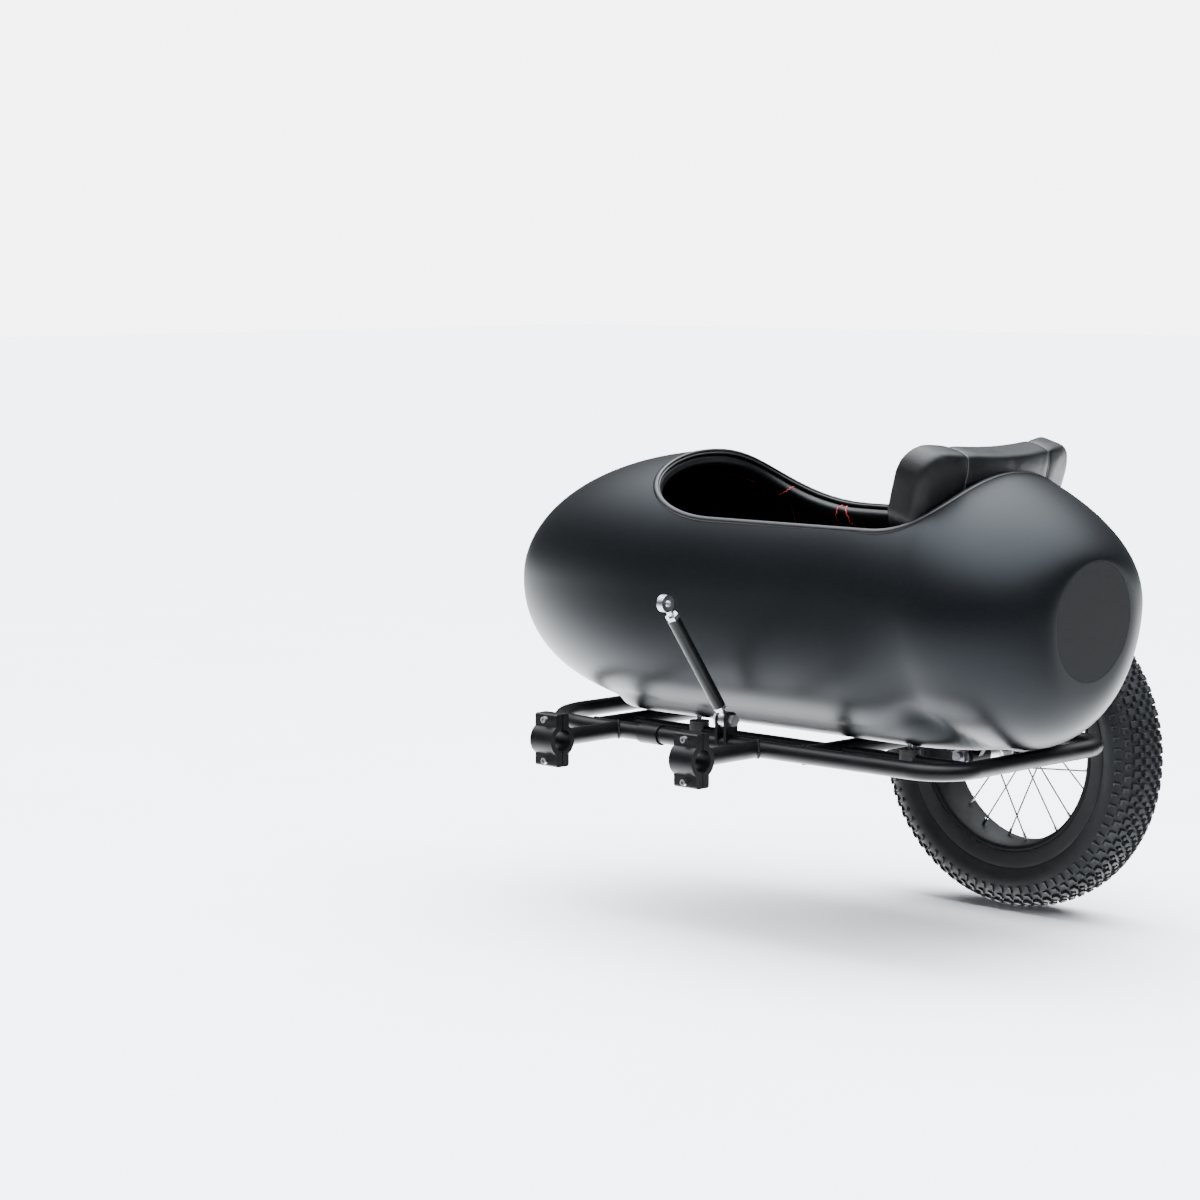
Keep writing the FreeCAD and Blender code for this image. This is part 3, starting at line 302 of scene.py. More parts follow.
def new_material(name, rgb, roughness, **uniform):
    """A Principled material with its uniform values on its own sockets."""
    material = bpy.data.materials.new(name)
    material.use_nodes = True
    tree = material.node_tree
    shader = tree.nodes["Principled BSDF"]
    shader.inputs["Base Color"].default_value = (*rgb, 1.0)
    shader.inputs["Roughness"].default_value = roughness
    for socket, value in uniform.items():
        shader.inputs[socket.replace("_", " ")].default_value = value
    where = add_node(tree, "ShaderNodeTexCoord").outputs["Object"]
    return material, tree, shader, where


def bump(tree, shader, heights):
    """Bumps one after another, each a (height, distance in metres, strength)."""
    normal = None
    for height, distance, strength in heights:
        inputs = {"Height": height, "Distance": distance, "Strength": strength}
        if normal is not None:
            inputs["Normal"] = normal
        normal = add_node(tree, "ShaderNodeBump", inputs).outputs["Normal"]
    tree.links.new(normal, shader.inputs["Normal"])


def shades(rgb, low, high):
    return tuple(c * low for c in rgb), tuple(c * high for c in rgb)


def vary(tree, shader, pattern, rgb, low, high, rough=None):
    """Let a pattern drive the colour between two shades of it, and the roughness."""
    dark, light = shades(rgb, low, high)
    tree.links.new(ramp(tree, pattern, [(0.3, dark), (0.7, light)]), shader.inputs["Base Color"])
    if rough:
        tree.links.new(ramp(tree, pattern, [(0.3, rough[0]), (0.7, rough[1])]),
                       shader.inputs["Roughness"])


# Finishes

def satin_paint(rgb):
    """Anthracite paint: a fine fleck, a slight orange peel and a soft coat."""
    material, tree, shader, where = new_material("satin_anthracite_paint", rgb, 0.42,
                                                 Specular_IOR_Level=0.15,
                                                 Specular_Tint=(0.84, 0.92, 1.0, 1.0))
    fleck = noise(tree, where, 1500.0, 2.0, 0.6)
    cloud = noise(tree, where, 9.0, 2.0)
    mixed = maths(tree, "ADD", maths(tree, "MULTIPLY", fleck, 0.8), maths(tree, "MULTIPLY", cloud, 0.2))
    vary(tree, shader, mixed, rgb, 0.78, 1.30, rough=(0.38, 0.45))
    peel = noise(tree, where, 420.0, 1.0)
    bump(tree, shader, [(peel, 0.0002, 0.12), (fleck, 0.00008, 0.18)])
    return material


def plate_plastic(rgb):
    """The tail plate: the body's colour, flatter and matte."""
    material, tree, shader, where = new_material("matte_tail_plate", rgb, 0.62, Specular_IOR_Level=0.12)
    grain = noise(tree, where, 1100.0, 3.0, 0.6)
    vary(tree, shader, grain, rgb, 0.82, 1.2, rough=(0.56, 0.68))
    bump(tree, shader, [(grain, 0.00012, 0.25)])
    return material


def powder_coat(name, rgb, roughness=0.38):
    """Black powder coat with its fine pebbled skin and paler rubbed spots."""
    material, tree, shader, where = new_material(name, rgb, roughness, Specular_IOR_Level=0.16)
    pebble = noise(tree, where, 700.0, 2.0, 0.55)
    rub = noise(tree, where, 14.0, 4.0, 0.6)
    vary(tree, shader, rub, rgb, 0.8, 1.35, rough=(roughness - 0.06, roughness + 0.10))
    bump(tree, shader, [(pebble, 0.0003, 0.22)])
    return material


def plated_steel(name, rgb, roughness, streak=(40.0, 40.0, 900.0)):
    """Plated or drawn steel with fine streaks along one way."""
    material, tree, shader, where = new_material(name, rgb, roughness, Metallic=1.0)
    stretched = add_node(tree, "ShaderNodeMapping", {"Vector": where, "Scale": streak}).outputs[0]
    streaks = noise(tree, stretched, 1.0, 3.0, 0.6)
    spots = noise(tree, where, 60.0, 4.0, 0.6)
    mixed = maths(tree, "ADD", maths(tree, "MULTIPLY", streaks, 0.5),
                  maths(tree, "MULTIPLY", spots, 0.5))
    vary(tree, shader, mixed, rgb, 0.82, 1.12, rough=(roughness - 0.08, roughness + 0.12))
    bump(tree, shader, [(streaks, 0.0001, 0.15)])
    return material


def tyre_rubber(rgb):
    """Tyre compound: a dull skin with fine pits, a little paler where it has rubbed."""
    material, tree, shader, where = new_material("tyre_rubber", rgb, 0.60, Specular_IOR_Level=0.25)
    pits = noise(tree, where, 850.0, 3.0, 0.6)
    rub = noise(tree, where, 26.0, 4.0, 0.6)
    vary(tree, shader, rub, rgb, 0.8, 1.35, rough=(0.58, 0.76))
    bump(tree, shader, [(pits, 0.0002, 0.3)])
    return material


def trim_rubber(name, rgb, roughness=0.5):
    """Extruded rubber: smooth and satin, with faint bloom."""
    material, tree, shader, where = new_material(name, rgb, roughness, Specular_IOR_Level=0.3)
    bloom = noise(tree, where, 40.0, 4.0, 0.6)
    pores = noise(tree, where, 1300.0, 2.0)
    vary(tree, shader, bloom, rgb, 0.75, 1.4, rough=(roughness - 0.06, roughness + 0.08))
    bump(tree, shader, [(pores, 0.0001, 0.2)])
    return material


def grained_leather(name, rgb, roughness=0.40, grain=520.0):
    """Coated leather: small cells with fine creases between them, and slow changes in gloss."""
    material, tree, shader, where = new_material(name, rgb, roughness, Sheen_Weight=0.01,
                                                 Sheen_Roughness=0.5, Specular_IOR_Level=0.18)
    wobble = add_node(tree, "ShaderNodeTexNoise", {"Vector": where, "Scale": 190.0, "Detail": 2.0})
    bent = add_node(tree, "ShaderNodeVectorMath", {0: where}, operation="ADD")
    small = add_node(tree, "ShaderNodeVectorMath", {0: wobble.outputs["Color"]}, operation="SCALE")
    small.inputs["Scale"].default_value = 0.0014
    tree.links.new(small.outputs[0], bent.inputs[1])
    creases = ramp(tree, cells(tree, bent.outputs[0], grain, "DISTANCE_TO_EDGE"),
                   [(0.0, 0.0), (0.16, 1.0)])
    folds = noise(tree, where, 34.0, 4.0, 0.6)
    vary(tree, shader, folds, rgb, 0.82, 1.22, rough=(roughness - 0.06, roughness + 0.10))
    bump(tree, shader, [(folds, 0.0012, 0.10), (creases, 0.00022, 0.40)])
    return material


def lining_cloth(rgb):
    """The dark knitted trim of the inside: a fine weave with a soft sheen."""
    material, tree, shader, where = new_material("lining_cloth", rgb, 0.6, Specular_IOR_Level=0.25)
    across = add_node(tree, "ShaderNodeTexWave", {"Vector": where, "Scale": 210.0, "Distortion": 1.2,
                                                  "Detail": 1.0}, bands_direction="Y").outputs["Fac"]
    up = add_node(tree, "ShaderNodeTexWave", {"Vector": where, "Scale": 210.0, "Distortion": 1.2,
                                              "Detail": 1.0}, bands_direction="Z").outputs["Fac"]
    weave = maths(tree, "MULTIPLY", across, up)
    vary(tree, shader, weave, rgb, 0.6, 1.4)
    bump(tree, shader, [(weave, 0.0004, 0.4)])
    return material


def sewing_thread(name, rgb):
    """Bonded thread: twisted plies."""
    material, tree, shader, where = new_material(name, rgb, 0.45, Sheen_Weight=0.2)
    plies = add_node(tree, "ShaderNodeTexWave", {"Vector": where, "Scale": 800.0, "Distortion": 2.0},
                     bands_direction="DIAGONAL").outputs["Fac"]
    vary(tree, shader, plies, rgb, 0.75, 1.1)
    bump(tree, shader, [(plies, 0.0002, 0.4)])
    return material


def stained_ply(rgb):
    """Dark-stained plywood with long grain."""
    material, tree, shader, where = new_material("stained_plywood", rgb, 0.55)
    long_way = add_node(tree, "ShaderNodeMapping", {"Vector": where, "Scale": (60.0, 6.0, 90.0)})
    grain = add_node(tree, "ShaderNodeTexWave", {"Vector": long_way.outputs[0], "Scale": 1.2,
                                                 "Distortion": 6.0, "Detail": 3.0}).outputs["Fac"]
    vary(tree, shader, grain, rgb, 0.6, 1.5, rough=(0.48, 0.62))
    bump(tree, shader, [(grain, 0.0003, 0.25)])
    return material


FINISH = {}


def finishes():
    """Make each finish once."""
    if FINISH:
        return FINISH
    colours = bpy.context.scene.sidecar_finishes
    rgb = {name: tuple(getattr(colours, name)) for name in
           ("paint", "chassis", "leather", "trim", "thread", "rubber", "floor")}
    FINISH.update({
        "body_paint": satin_paint(rgb["paint"]),
        "tail_plate": plate_plastic(tuple(c * 1.4 for c in rgb["paint"])),
        "chassis_paint": powder_coat("chassis_powder_coat", rgb["chassis"]),
        "zinc_steel": plated_steel("zinc_plated_steel", (0.42, 0.42, 0.44), 0.34),
        "hub_black": powder_coat("hub_anodised_black", (0.008, 0.008, 0.009), 0.34),
        "rim_black": powder_coat("rim_satin_black", (0.0016, 0.0016, 0.0018), 0.60),
        "black_plastic": powder_coat("moulded_black_plastic", (0.010, 0.010, 0.011), 0.50),
        "spoke_steel": plated_steel("black_drawn_steel", (0.10, 0.10, 0.105), 0.32, (500.0, 60.0, 60.0)),
        "nipple_silver": plated_steel("nickel_plated_brass", (0.62, 0.61, 0.60), 0.26),
        "tyre_rubber": tyre_rubber(rgb["rubber"]),
        "trim_rubber": trim_rubber("edge_trim_rubber", rgb["trim"], 0.40),
        "pad_rubber": trim_rubber("pad_rubber", (0.009, 0.009, 0.009), 0.7),
        "black_leather": grained_leather("grained_black_leather", rgb["leather"]),
        "coaming_leather": grained_leather("coaming_vinyl", tuple(c * 0.9 for c in rgb["leather"]),
                                           0.34, 700.0),
        "lining_fabric": lining_cloth((0.004, 0.004, 0.0044)),
        "plywood": stained_ply((0.020, 0.014, 0.010)),
        "thread": sewing_thread("red_thread", rgb["thread"]),
        "dark_thread": sewing_thread("black_thread", (0.012, 0.012, 0.013)),
    })
    return FINISH


# The body's form

def run_out(share, power):
    """How wide a form still is at a share of its run-out: 1 at the start, 0 at the end."""
    return max(0.0, 1.0 - share ** power) ** (1.0 / power)


TAIL_TILT = math.radians(3.5)
WAIST = 137.0 * MM


def body_section(y):
    """Half width, height up, height down, centre height, upper power, lower power and tilt."""
    s = bpy.context.scene.sidecar_body
    share, end_r, end_z, powers = 0.0, 0.0, s.middle_z, (2.0, 2.0, 2.0)
    if y < s.tail_start:
        share = min(1.0, (s.tail_start - y) / (s.tail_start - s.tail_end))
        end_r, end_z, powers = s.tail_plate_r, s.tail_plate_z, (2.0, 1.25, 2.66)
    elif y > s.nose_start:
        share = min(1.0, (y - s.nose_start) / (s.nose_end - s.nose_start))
        end_r, end_z, powers = s.nose_tip_r, s.nose_tip_z, (2.2, 2.0, 2.2)
    width, up, down = [end_r + (full - end_r) * run_out(share, power)
                       for full, power in zip((s.half_width, s.up, s.down), powers)]
    left_over = run_out(share, 2.0)
    centre_z = end_z + (s.middle_z - end_z) * left_over
    if y < s.tail_start:
        return width, up, down, centre_z, 2.0, 2.0 - 0.16 * left_over, share * math.tan(TAIL_TILT)
    waist = min(1.0, (y - s.tail_start) / WAIST)
    full = waist * waist * (3 - 2 * waist) * left_over
    return width, up, down, centre_z, 2.0 + 0.2 * full, 1.84 + 0.76 * full, 0.0


def side_reach(y, z, inset=0.0):
    """Half width of the body at a station and a height, or None above its crown."""
    width, up, down, centre_z, upper, lower, _ = body_section(y)
    rise = z - centre_z
    height, power = (up, upper) if rise > 0 else (down, lower)
    left = 1.0 - (abs(rise) / (height - inset)) ** power
    return (width - inset) * left ** (1 / power) if left > 0 else None


def keel_reach(y):
    """Half width of the plinth under the body at a station."""
    s = bpy.context.scene.sidecar_body
    flat = s.keel_half_width - s.keel_corner_r
    over = max(s.keel_rear + s.keel_corner_r - y, y - (s.keel_front - s.keel_corner_r), 0.0)
    if over >= s.keel_corner_r:
        return 0.0
    return flat + math.sqrt(s.keel_corner_r ** 2 - over ** 2)


def soft_max(a, b, width):
    """The larger of two lengths, with a soft change-over."""
    mix = np.clip(0.5 + 0.5 * (a - b) / width, 0.0, 1.0)
    return b + (a - b) * mix + width * mix * (1 - mix) * 0.5


def outer_ring(y, angles):
    """The body's outside at one station, hull and plinth in one."""
    s = bpy.context.scene.sidecar_body
    width, up, down, centre_z, upper, lower, tilt = body_section(y)
    c, k = np.cos(angles), np.sin(angles)
    power = np.where(k > 0, upper, lower)
    height = np.where(k > 0, up, down)
    hull = 1.0 / ((np.abs(c) / width) ** power + (np.abs(k) / height) ** power) ** (1 / power)
    plinth_x = keel_reach(y)
    reach = hull
    if plinth_x > 0.0:
        depth = centre_z - s.keel_bottom
        fade = min(1.0, plinth_x / 0.06)
        rake = s.keel_rake * fade
        side = (np.abs(c) + rake * np.maximum(-k, 0.0)) / (plinth_x * 0.90 + rake * depth)
        block = 1.0 / (side ** 14 + (np.maximum(-k, 1e-6) / depth) ** 14) ** (1 / 14)
        block = np.where(k < -0.25, block, 0.0)
        reach = np.where(k < -0.25, soft_max(hull, block, s.crease * fade + 1e-5), hull)
    x = reach * c
    z = reach * k
    z = np.maximum(z, s.keel_bottom - centre_z)
    return np.stack([s.centre_x + x, y - z * tilt, centre_z + z], 1)


def inner_ring(y, angles):
    """The moulding's inside at one station, flat at the floor."""
    s = bpy.context.scene.sidecar_body
    width, up, down, centre_z, upper, lower, tilt = body_section(y)
    c, k = np.cos(angles), np.sin(angles)
    power = np.where(k > 0, upper, lower)
    height = np.where(k > 0, up, down) - s.wall
    x = (width - s.wall) * np.sign(c) * np.abs(c) ** (2 / power)
    z = height * np.sign(k) * np.abs(k) ** (2 / power)
    z = np.maximum(z, s.floor_z - centre_z)
    return np.stack([s.centre_x + x, y - z * tilt, centre_z + z], 1)


def stations(count_tail, count_middle, count_nose, end_inset=0.0):
    """Stations along the body, closer together where it closes."""
    s = bpy.context.scene.sidecar_body
    tail = s.tail_start - (s.tail_start - s.tail_end) * np.sin(np.linspace(math.pi / 2, 0, count_tail))
    middle = np.linspace(s.tail_start, s.nose_start, count_middle)[1:-1]
    nose = s.nose_start + (s.nose_end - s.nose_start) * np.sin(np.linspace(0, math.pi / 2, count_nose))
    places = np.concatenate([tail, middle, nose])
    if end_inset:
        centre = (s.tail_end + s.nose_end) / 2
        half = (s.nose_end - s.tail_end) / 2
        places = centre + (places - centre) * (half - end_inset) / half
    return places


def shell_surface(places, ring, angles):
    """Rings joined along the body and closed at both ends by a fan."""
    rings = [ring(y, angles) for y in places]
    points = np.concatenate(rings)
    count = len(angles)
    faces = grid_faces(len(rings), count)
    first, last = len(points), len(points) + 1
    points = np.concatenate([points, [rings[0].mean(0)], [rings[-1].mean(0)]])
    for j in range(count):
        k = (j + 1) % count
        faces.append((first, k, j))
        faces.append((last, (len(rings) - 1) * count + j, (len(rings) - 1) * count + k))
    return points, faces


def sill_line(raise_by=0.0, steps=40):
    """The cockpit's edge seen from the side, from its rear top to its front top."""
    s = bpy.context.scene.sidecar_body
    low = s.sill_z + raise_by
    line = []
    for i in range(steps + 1):
        turn = math.pi / 2 * (1 - i / steps)
        line.append((s.sill_rear - (s.rear_sweep - raise_by) * math.sin(turn),
                     s.arch_z - (s.arch_z - low) * math.cos(turn)))
    for i in range(steps + 1):
        turn = math.pi / 2 * i / steps
        line.append((s.sill_front + (s.front_sweep - raise_by) * math.sin(turn),
                     s.arch_z - (s.arch_z - low) * math.cos(turn)))
    return line


def cockpit_cutter():
    """A prism through the body above the cockpit's edge."""
    s = bpy.context.scene.sidecar_body
    line = sill_line()
    top = s.arch_z + 0.08
    outline = line + [(line[-1][0], top), (line[0][0], top)]
    reach = s.half_width + 0.05
    points = [(s.centre_x + side * reach, y, z) for side in (-1, 1) for y, z in outline]
    count = len(outline)
    faces = [tuple(range(count))[::-1], tuple(range(count, 2 * count))]
    faces += [(j, (j + 1) % count, count + (j + 1) % count, count + j) for j in range(count)]
    cutter = mesh_object("cutter", points, faces, False)
    clean(cutter)
    return cutter


def disc_cutter(radius, depth):
    """A disc at the tail's tilted end."""
    s = bpy.context.scene.sidecar_body
    behind = 40.0 * MM
    work = bmesh.new()
    bmesh.ops.create_cone(work, cap_ends=True, segments=128, radius1=radius, radius2=radius,
                          depth=behind + depth)
    lean = Matrix.Rotation(math.radians(90) + TAIL_TILT, 4, "X")
    centre = Vector((s.centre_x, s.tail_end, s.tail_plate_z))
    inward = Matrix.Rotation(TAIL_TILT, 4, "X") @ Vector((0, 1, 0))
    place = Matrix.Translation(centre + inward * ((depth - behind) / 2)) @ lean
    bmesh.ops.transform(work, matrix=place, verts=work.verts)
    mesh = bpy.data.meshes.new("disc_cutter")
    work.to_mesh(mesh)
    work.free()
    cutter = bpy.data.objects.new("disc_cutter", mesh)
    bpy.context.scene.collection.objects.link(cutter)
    return cutter


def cut_away(piece, cutters):
    for cutter in cutters:
        modifier = piece.modifiers.new("cut", "BOOLEAN")
        modifier.operation = "DIFFERENCE"
        modifier.solver = "EXACT"
        modifier.object = cutter
    evaluated(piece)
    for cutter in cutters:
        bpy.data.objects.remove(cutter)
    return piece


def sill_loop(spacing=0.003, raise_by=0.0):
    """The cockpit's edge as a closed loop on the body's outside: points, outward normals, and the
    way from the moulding into the opening."""
    s = bpy.context.scene.sidecar_body
    half = []
    for y, z in sill_line(raise_by, 160):
        x = side_reach(y, z)
        if x is not None:
            half.append((x, y, z))
    for end in (0, -1):
        x, y, z = half[end]
        width, up, _, centre_z, upper, _, _ = body_section(y)
        arc = []
        for i in range(1, 13):
            reach = x * (1 - i / 12)
            arc.append((reach, y, centre_z + up * (1 - (reach / width) ** upper) ** (1 / upper)))
        half = half + arc if end else arc[::-1] + half
    loop = np.array(half + [(-x, y, z) for x, y, z in half[-2:0:-1]])
    for _ in range(2):
        step = np.linalg.norm(np.roll(loop, -1, 0) - loop, axis=1)
        along = np.concatenate([[0], np.cumsum(step)])
        closed = np.vstack([loop, loop[:1]])
        count = int(along[-1] / spacing)
        wanted = np.arange(count) * along[-1] / count
        loop = np.stack([np.interp(wanted, along, closed[:, i]) for i in range(3)], 1)
        for _ in range(12):
            loop = 0.5 * loop + 0.25 * (np.roll(loop, 1, 0) + np.roll(loop, -1, 0))
    out = np.array([body_normal(p) for p in loop])
    tangent = np.roll(loop, -1, 0) - np.roll(loop, 1, 0)
    tangent /= np.linalg.norm(tangent, axis=1)[:, None]
    out -= tangent * (out * tangent).sum(1)[:, None]
    for _ in range(6):
        out = 0.5 * out + 0.25 * (np.roll(out, 1, 0) + np.roll(out, -1, 0))
    out /= np.linalg.norm(out, axis=1)[:, None]
    into = np.cross(out, tangent)
    loop[:, 0] += s.centre_x
    return loop, out, into


def body_normal(point):
    """The hull's outward normal at a point given from the body's middle plane."""
    def field(x, y, z):
        width, up, down, centre_z, upper, lower, _ = body_section(y)
        rise = z - centre_z
        height, power = (up, upper) if rise > 0 else (down, lower)
        return (abs(x) / width) ** power + (abs(rise) / height) ** power
    step = 0.0005
    x, y, z = point
    grad = np.array([field(x + step, y, z) - field(x - step, y, z),
                     field(x, y + step, z) - field(x, y - step, z),
                     field(x, y, z + step) - field(x, y, z - step)])
    return grad / np.linalg.norm(grad)


def swept(name, loop, out, into, profile, scale=None):
    """A closed profile of (outward, into the opening) points carried round the loop."""
    profile = np.array(profile)
    rings = []
    for i in range(len(loop)):
        shape = profile if scale is None else scale(i, profile)
        rings.append(loop[i] + shape[:, :1] * out[i] + shape[:, 1:] * into[i])
    piece = mesh_object(name, np.concatenate(rings), grid_faces(len(loop), len(profile), True))
    edit_mesh(piece, lambda work: bmesh.ops.recalc_face_normals(work, faces=work.faces))
    return piece


# Pieces along a path

def path_object(name, paths, closed=False):
    """Lines of points as a mesh of edges."""
    points, edges = [], []
    for path in paths:
        start = len(points)
        points += [tuple(p) for p in path]
        edges += [(start + i, start + i + 1) for i in range(len(path) - 1)]
        if closed:
            edges.append((start + len(path) - 1, start))
    mesh = bpy.data.meshes.new(name)
    mesh.from_pydata(points, edges, [])
    piece = bpy.data.objects.new(name, mesh)
    bpy.context.scene.collection.objects.link(piece)
    return piece


def new_tree(name, inputs):
    """An empty Geometry Nodes tree with named inputs after its geometry."""
    tree = bpy.data.node_groups.new(name, "GeometryNodeTree")
    tree.interface.new_socket("Geometry", in_out="INPUT", socket_type="NodeSocketGeometry")
    for label, kind in inputs:
        tree.interface.new_socket(label, in_out="INPUT", socket_type="NodeSocket" + kind)
    tree.interface.new_socket("Geometry", in_out="OUTPUT", socket_type="NodeSocketGeometry")
    return tree, tree.nodes.new("NodeGroupInput"), tree.nodes.new("NodeGroupOutput")


def close_tree(tree, source, sink, instances):
    """Realize the instances, smooth them and give them the material."""
    real = add_node(tree, "GeometryNodeRealizeInstances", {0: instances})
    smooth = add_node(tree, "GeometryNodeSetShadeSmooth", {0: real.outputs[0]})
    painted = add_node(tree, "GeometryNodeSetMaterial", {0: smooth.outputs[0]})
    tree.links.new(source.outputs["Material"], painted.inputs["Material"])
    tree.links.new(painted.outputs[0], sink.inputs[0])
    return tree


def bead_tree():
    """Small rounded beads laid end to end along lines, for stitches and weld ripples."""
    if "beads_along_lines" in bpy.data.node_groups:
        return bpy.data.node_groups["beads_along_lines"]
    tree, source, sink = new_tree("beads_along_lines", [("Spacing", "Float"), ("Size", "Vector"),
                                                        ("Material", "Material")])
    curve = add_node(tree, "GeometryNodeMeshToCurve", {0: source.outputs["Geometry"]})
    spaced = add_node(tree, "GeometryNodeResampleCurve", {"Curve": curve.outputs[0]})
    spaced.mode = "LENGTH"
    tree.links.new(source.outputs["Spacing"], spaced.inputs["Length"])
    bead = add_node(tree, "GeometryNodeMeshIcoSphere", {"Radius": 0.5, "Subdivisions": 2})
    tangent = add_node(tree, "GeometryNodeInputTangent")
    turned = add_node(tree, "FunctionNodeAlignRotationToVector", {"Vector": tangent.outputs[0]})
    turned.axis = "X"
    placed = add_node(tree, "GeometryNodeInstanceOnPoints",
                      {"Points": spaced.outputs[0], "Instance": bead.outputs[0],
                       "Rotation": turned.outputs[0]})
    tree.links.new(source.outputs["Size"], placed.inputs["Scale"])
    return close_tree(tree, source, sink, placed.outputs[0])


def ring_tree():
    """Copies of one drawn pitch turned round the wheel's axle."""
    if "pitches_round_axle" in bpy.data.node_groups:
        return bpy.data.node_groups["pitches_round_axle"]
    tree, source, sink = new_tree("pitches_round_axle", [("Pitch", "Object"), ("Count", "Int"),
                                                         ("Hub", "Vector"), ("Material", "Material")])
    points = add_node(tree, "GeometryNodePoints", {"Count": source.outputs["Count"],
                                                   "Position": source.outputs["Hub"]})
    index = add_node(tree, "GeometryNodeInputIndex")
    share = add_node(tree, "ShaderNodeMath", {0: index.outputs[0], 1: source.outputs["Count"]},
                     operation="DIVIDE")
    turn = add_node(tree, "ShaderNodeMath", {0: share.outputs[0], 1: math.tau}, operation="MULTIPLY")
    rotation = add_node(tree, "ShaderNodeCombineXYZ", {"X": turn.outputs[0]})
    pitch = add_node(tree, "GeometryNodeObjectInfo", {"Object": source.outputs["Pitch"]})
    placed = add_node(tree, "GeometryNodeInstanceOnPoints",
                      {"Points": points.outputs[0], "Instance": pitch.outputs["Geometry"],
                       "Rotation": rotation.outputs[0]})
    return close_tree(tree, source, sink, placed.outputs[0])


def grow(piece, tree, values):
    """Run a tree on an object with its inputs set, and keep the result as a plain mesh."""
    modifier = piece.modifiers.new("grow", "NODES")
    modifier.node_group = tree
    for item in tree.interface.items_tree:
        if item.item_type == "SOCKET" and item.in_out == "INPUT" and item.name in values:
            modifier[item.identifier] = values[item.name]
    return evaluated(piece)


def beads(name, paths, spacing, size, material, closed=False):
    """A row of beads along each path."""
    piece = path_object(name, paths, closed)
    return grow(piece, bead_tree(), {"Spacing": spacing, "Size": size, "Material": material})


def cord_tube(name, paths, radius, sides=8, closed=False):
    """Thin round tubes along paths."""
    points, faces = [], []
    turns = np.linspace(0, math.tau, sides, endpoint=False)
    for path in paths:
        path = np.array(path, float)
        if closed:
            tangent = np.roll(path, -1, 0) - np.roll(path, 1, 0)
        else:
            tangent = np.gradient(path, axis=0)
        tangent /= np.linalg.norm(tangent, axis=1)[:, None] + 1e-12
        side = np.cross(tangent, (0.123, 0.456, 0.881))
        side /= np.linalg.norm(side, axis=1)[:, None] + 1e-12
        other = np.cross(tangent, side)
        start = len(points)
        for p, a, b in zip(path, side, other):
            points += [tuple(p + radius * (math.cos(t) * a + math.sin(t) * b)) for t in turns]
        faces += grid_faces(len(path), sides, closed, True, start)
        if not closed:
            faces.append(tuple(range(start, start + sides))[::-1])
            faces.append(tuple(range(start + (len(path) - 1) * sides, start + len(path) * sides)))
    piece = mesh_object(name, points, faces)
    edit_mesh(piece, lambda work: bmesh.ops.recalc_face_normals(work, faces=work.faces))
    return piece


# Stuffed pieces

WELT_R, WELT_STEP = 1.0 * MM, 3.0 * MM


def slab(name, outline, thickness, roll):
    """A flat block from an outline in X and Z, with rolled edges, thick along Y."""
    work = bmesh.new()
    face = work.faces.new([work.verts.new((x, 0.0, z)) for x, z in outline])
    grown = bmesh.ops.extrude_face_region(work, geom=[face])
    moved = [v for v in grown["geom"] if isinstance(v, bmesh.types.BMVert)]
    bmesh.ops.translate(work, vec=(0, -thickness, 0), verts=moved)
    bmesh.ops.recalc_face_normals(work, faces=work.faces)
    rims = [e for e in work.edges if abs(e.verts[0].co.y - e.verts[1].co.y) < 1e-6]
    bmesh.ops.bevel(work, geom=rims, offset=roll, segments=5, profile=0.5, affect="EDGES")
    mesh = bpy.data.meshes.new(name)
    work.to_mesh(mesh)
    work.free()
    piece = bpy.data.objects.new(name, mesh)
    bpy.context.scene.collection.objects.link(piece)
    return piece


def rounded_outline(half_width, low, high, low_r, high_r, steps=8):
    """A rectangle from low to high with round corners."""
    points = []
    for cx, cz, r, start in ((half_width - low_r, low + low_r, low_r, -90),
                             (half_width - high_r, high - high_r, high_r, 0),
                             (-half_width + high_r, high - high_r, high_r, 90),
                             (-half_width + low_r, low + low_r, low_r, 180)):
        for i in range(steps + 1):
            angle = math.radians(start + 90 * i / steps)
            points.append((cx + r * math.cos(angle), cz + r * math.sin(angle)))
    return points


def stuff(piece, voxel=0.005, pressure=4.0, cap=0.012):
    """Blow a closed form up as cloth, and keep how far each point moves under a cap."""
    remesh = piece.modifiers.new("even", "REMESH")
    remesh.mode = "VOXEL"
    remesh.voxel_size = voxel
    evaluated(piece)
    rest = coordinates(piece)
    scene = bpy.context.scene
    cloth = piece.modifiers.new("Cloth", "CLOTH")
    cloth.settings.use_pressure = True
    cloth.settings.uniform_pressure_force = pressure
    cloth.settings.effector_weights.gravity = 0.0
    cloth.settings.tension_stiffness = 20.0
    cloth.settings.compression_stiffness = 20.0
    cloth.point_cache.frame_start = 1
    cloth.point_cache.frame_end = 20
    for number in range(1, 21):
        scene.frame_set(number)
    graph = bpy.context.evaluated_depsgraph_get()
    blown = piece.evaluated_get(graph).to_mesh()
    flat = np.zeros(len(blown.vertices) * 3)
    blown.vertices.foreach_get("co", flat)
    moved = flat.reshape(-1, 3) - rest
    piece.evaluated_get(graph).to_mesh_clear()
    piece.modifiers.clear()
    scene.frame_set(1)
    far = np.linalg.norm(moved, axis=1)
    share = np.minimum(1.0, cap / np.maximum(far, 1e-9))
    set_coordinates(piece, rest + moved * share[:, None])
    soft = piece.modifiers.new("soft", "SMOOTH")
    soft.factor = 0.5
    soft.iterations = 4
    fine = piece.modifiers.new("fine", "SUBSURF")
    fine.levels = fine.render_levels = 1
    evaluated(piece)
    piece.data.polygons.foreach_set("use_smooth", [True] * len(piece.data.polygons))
    return piece


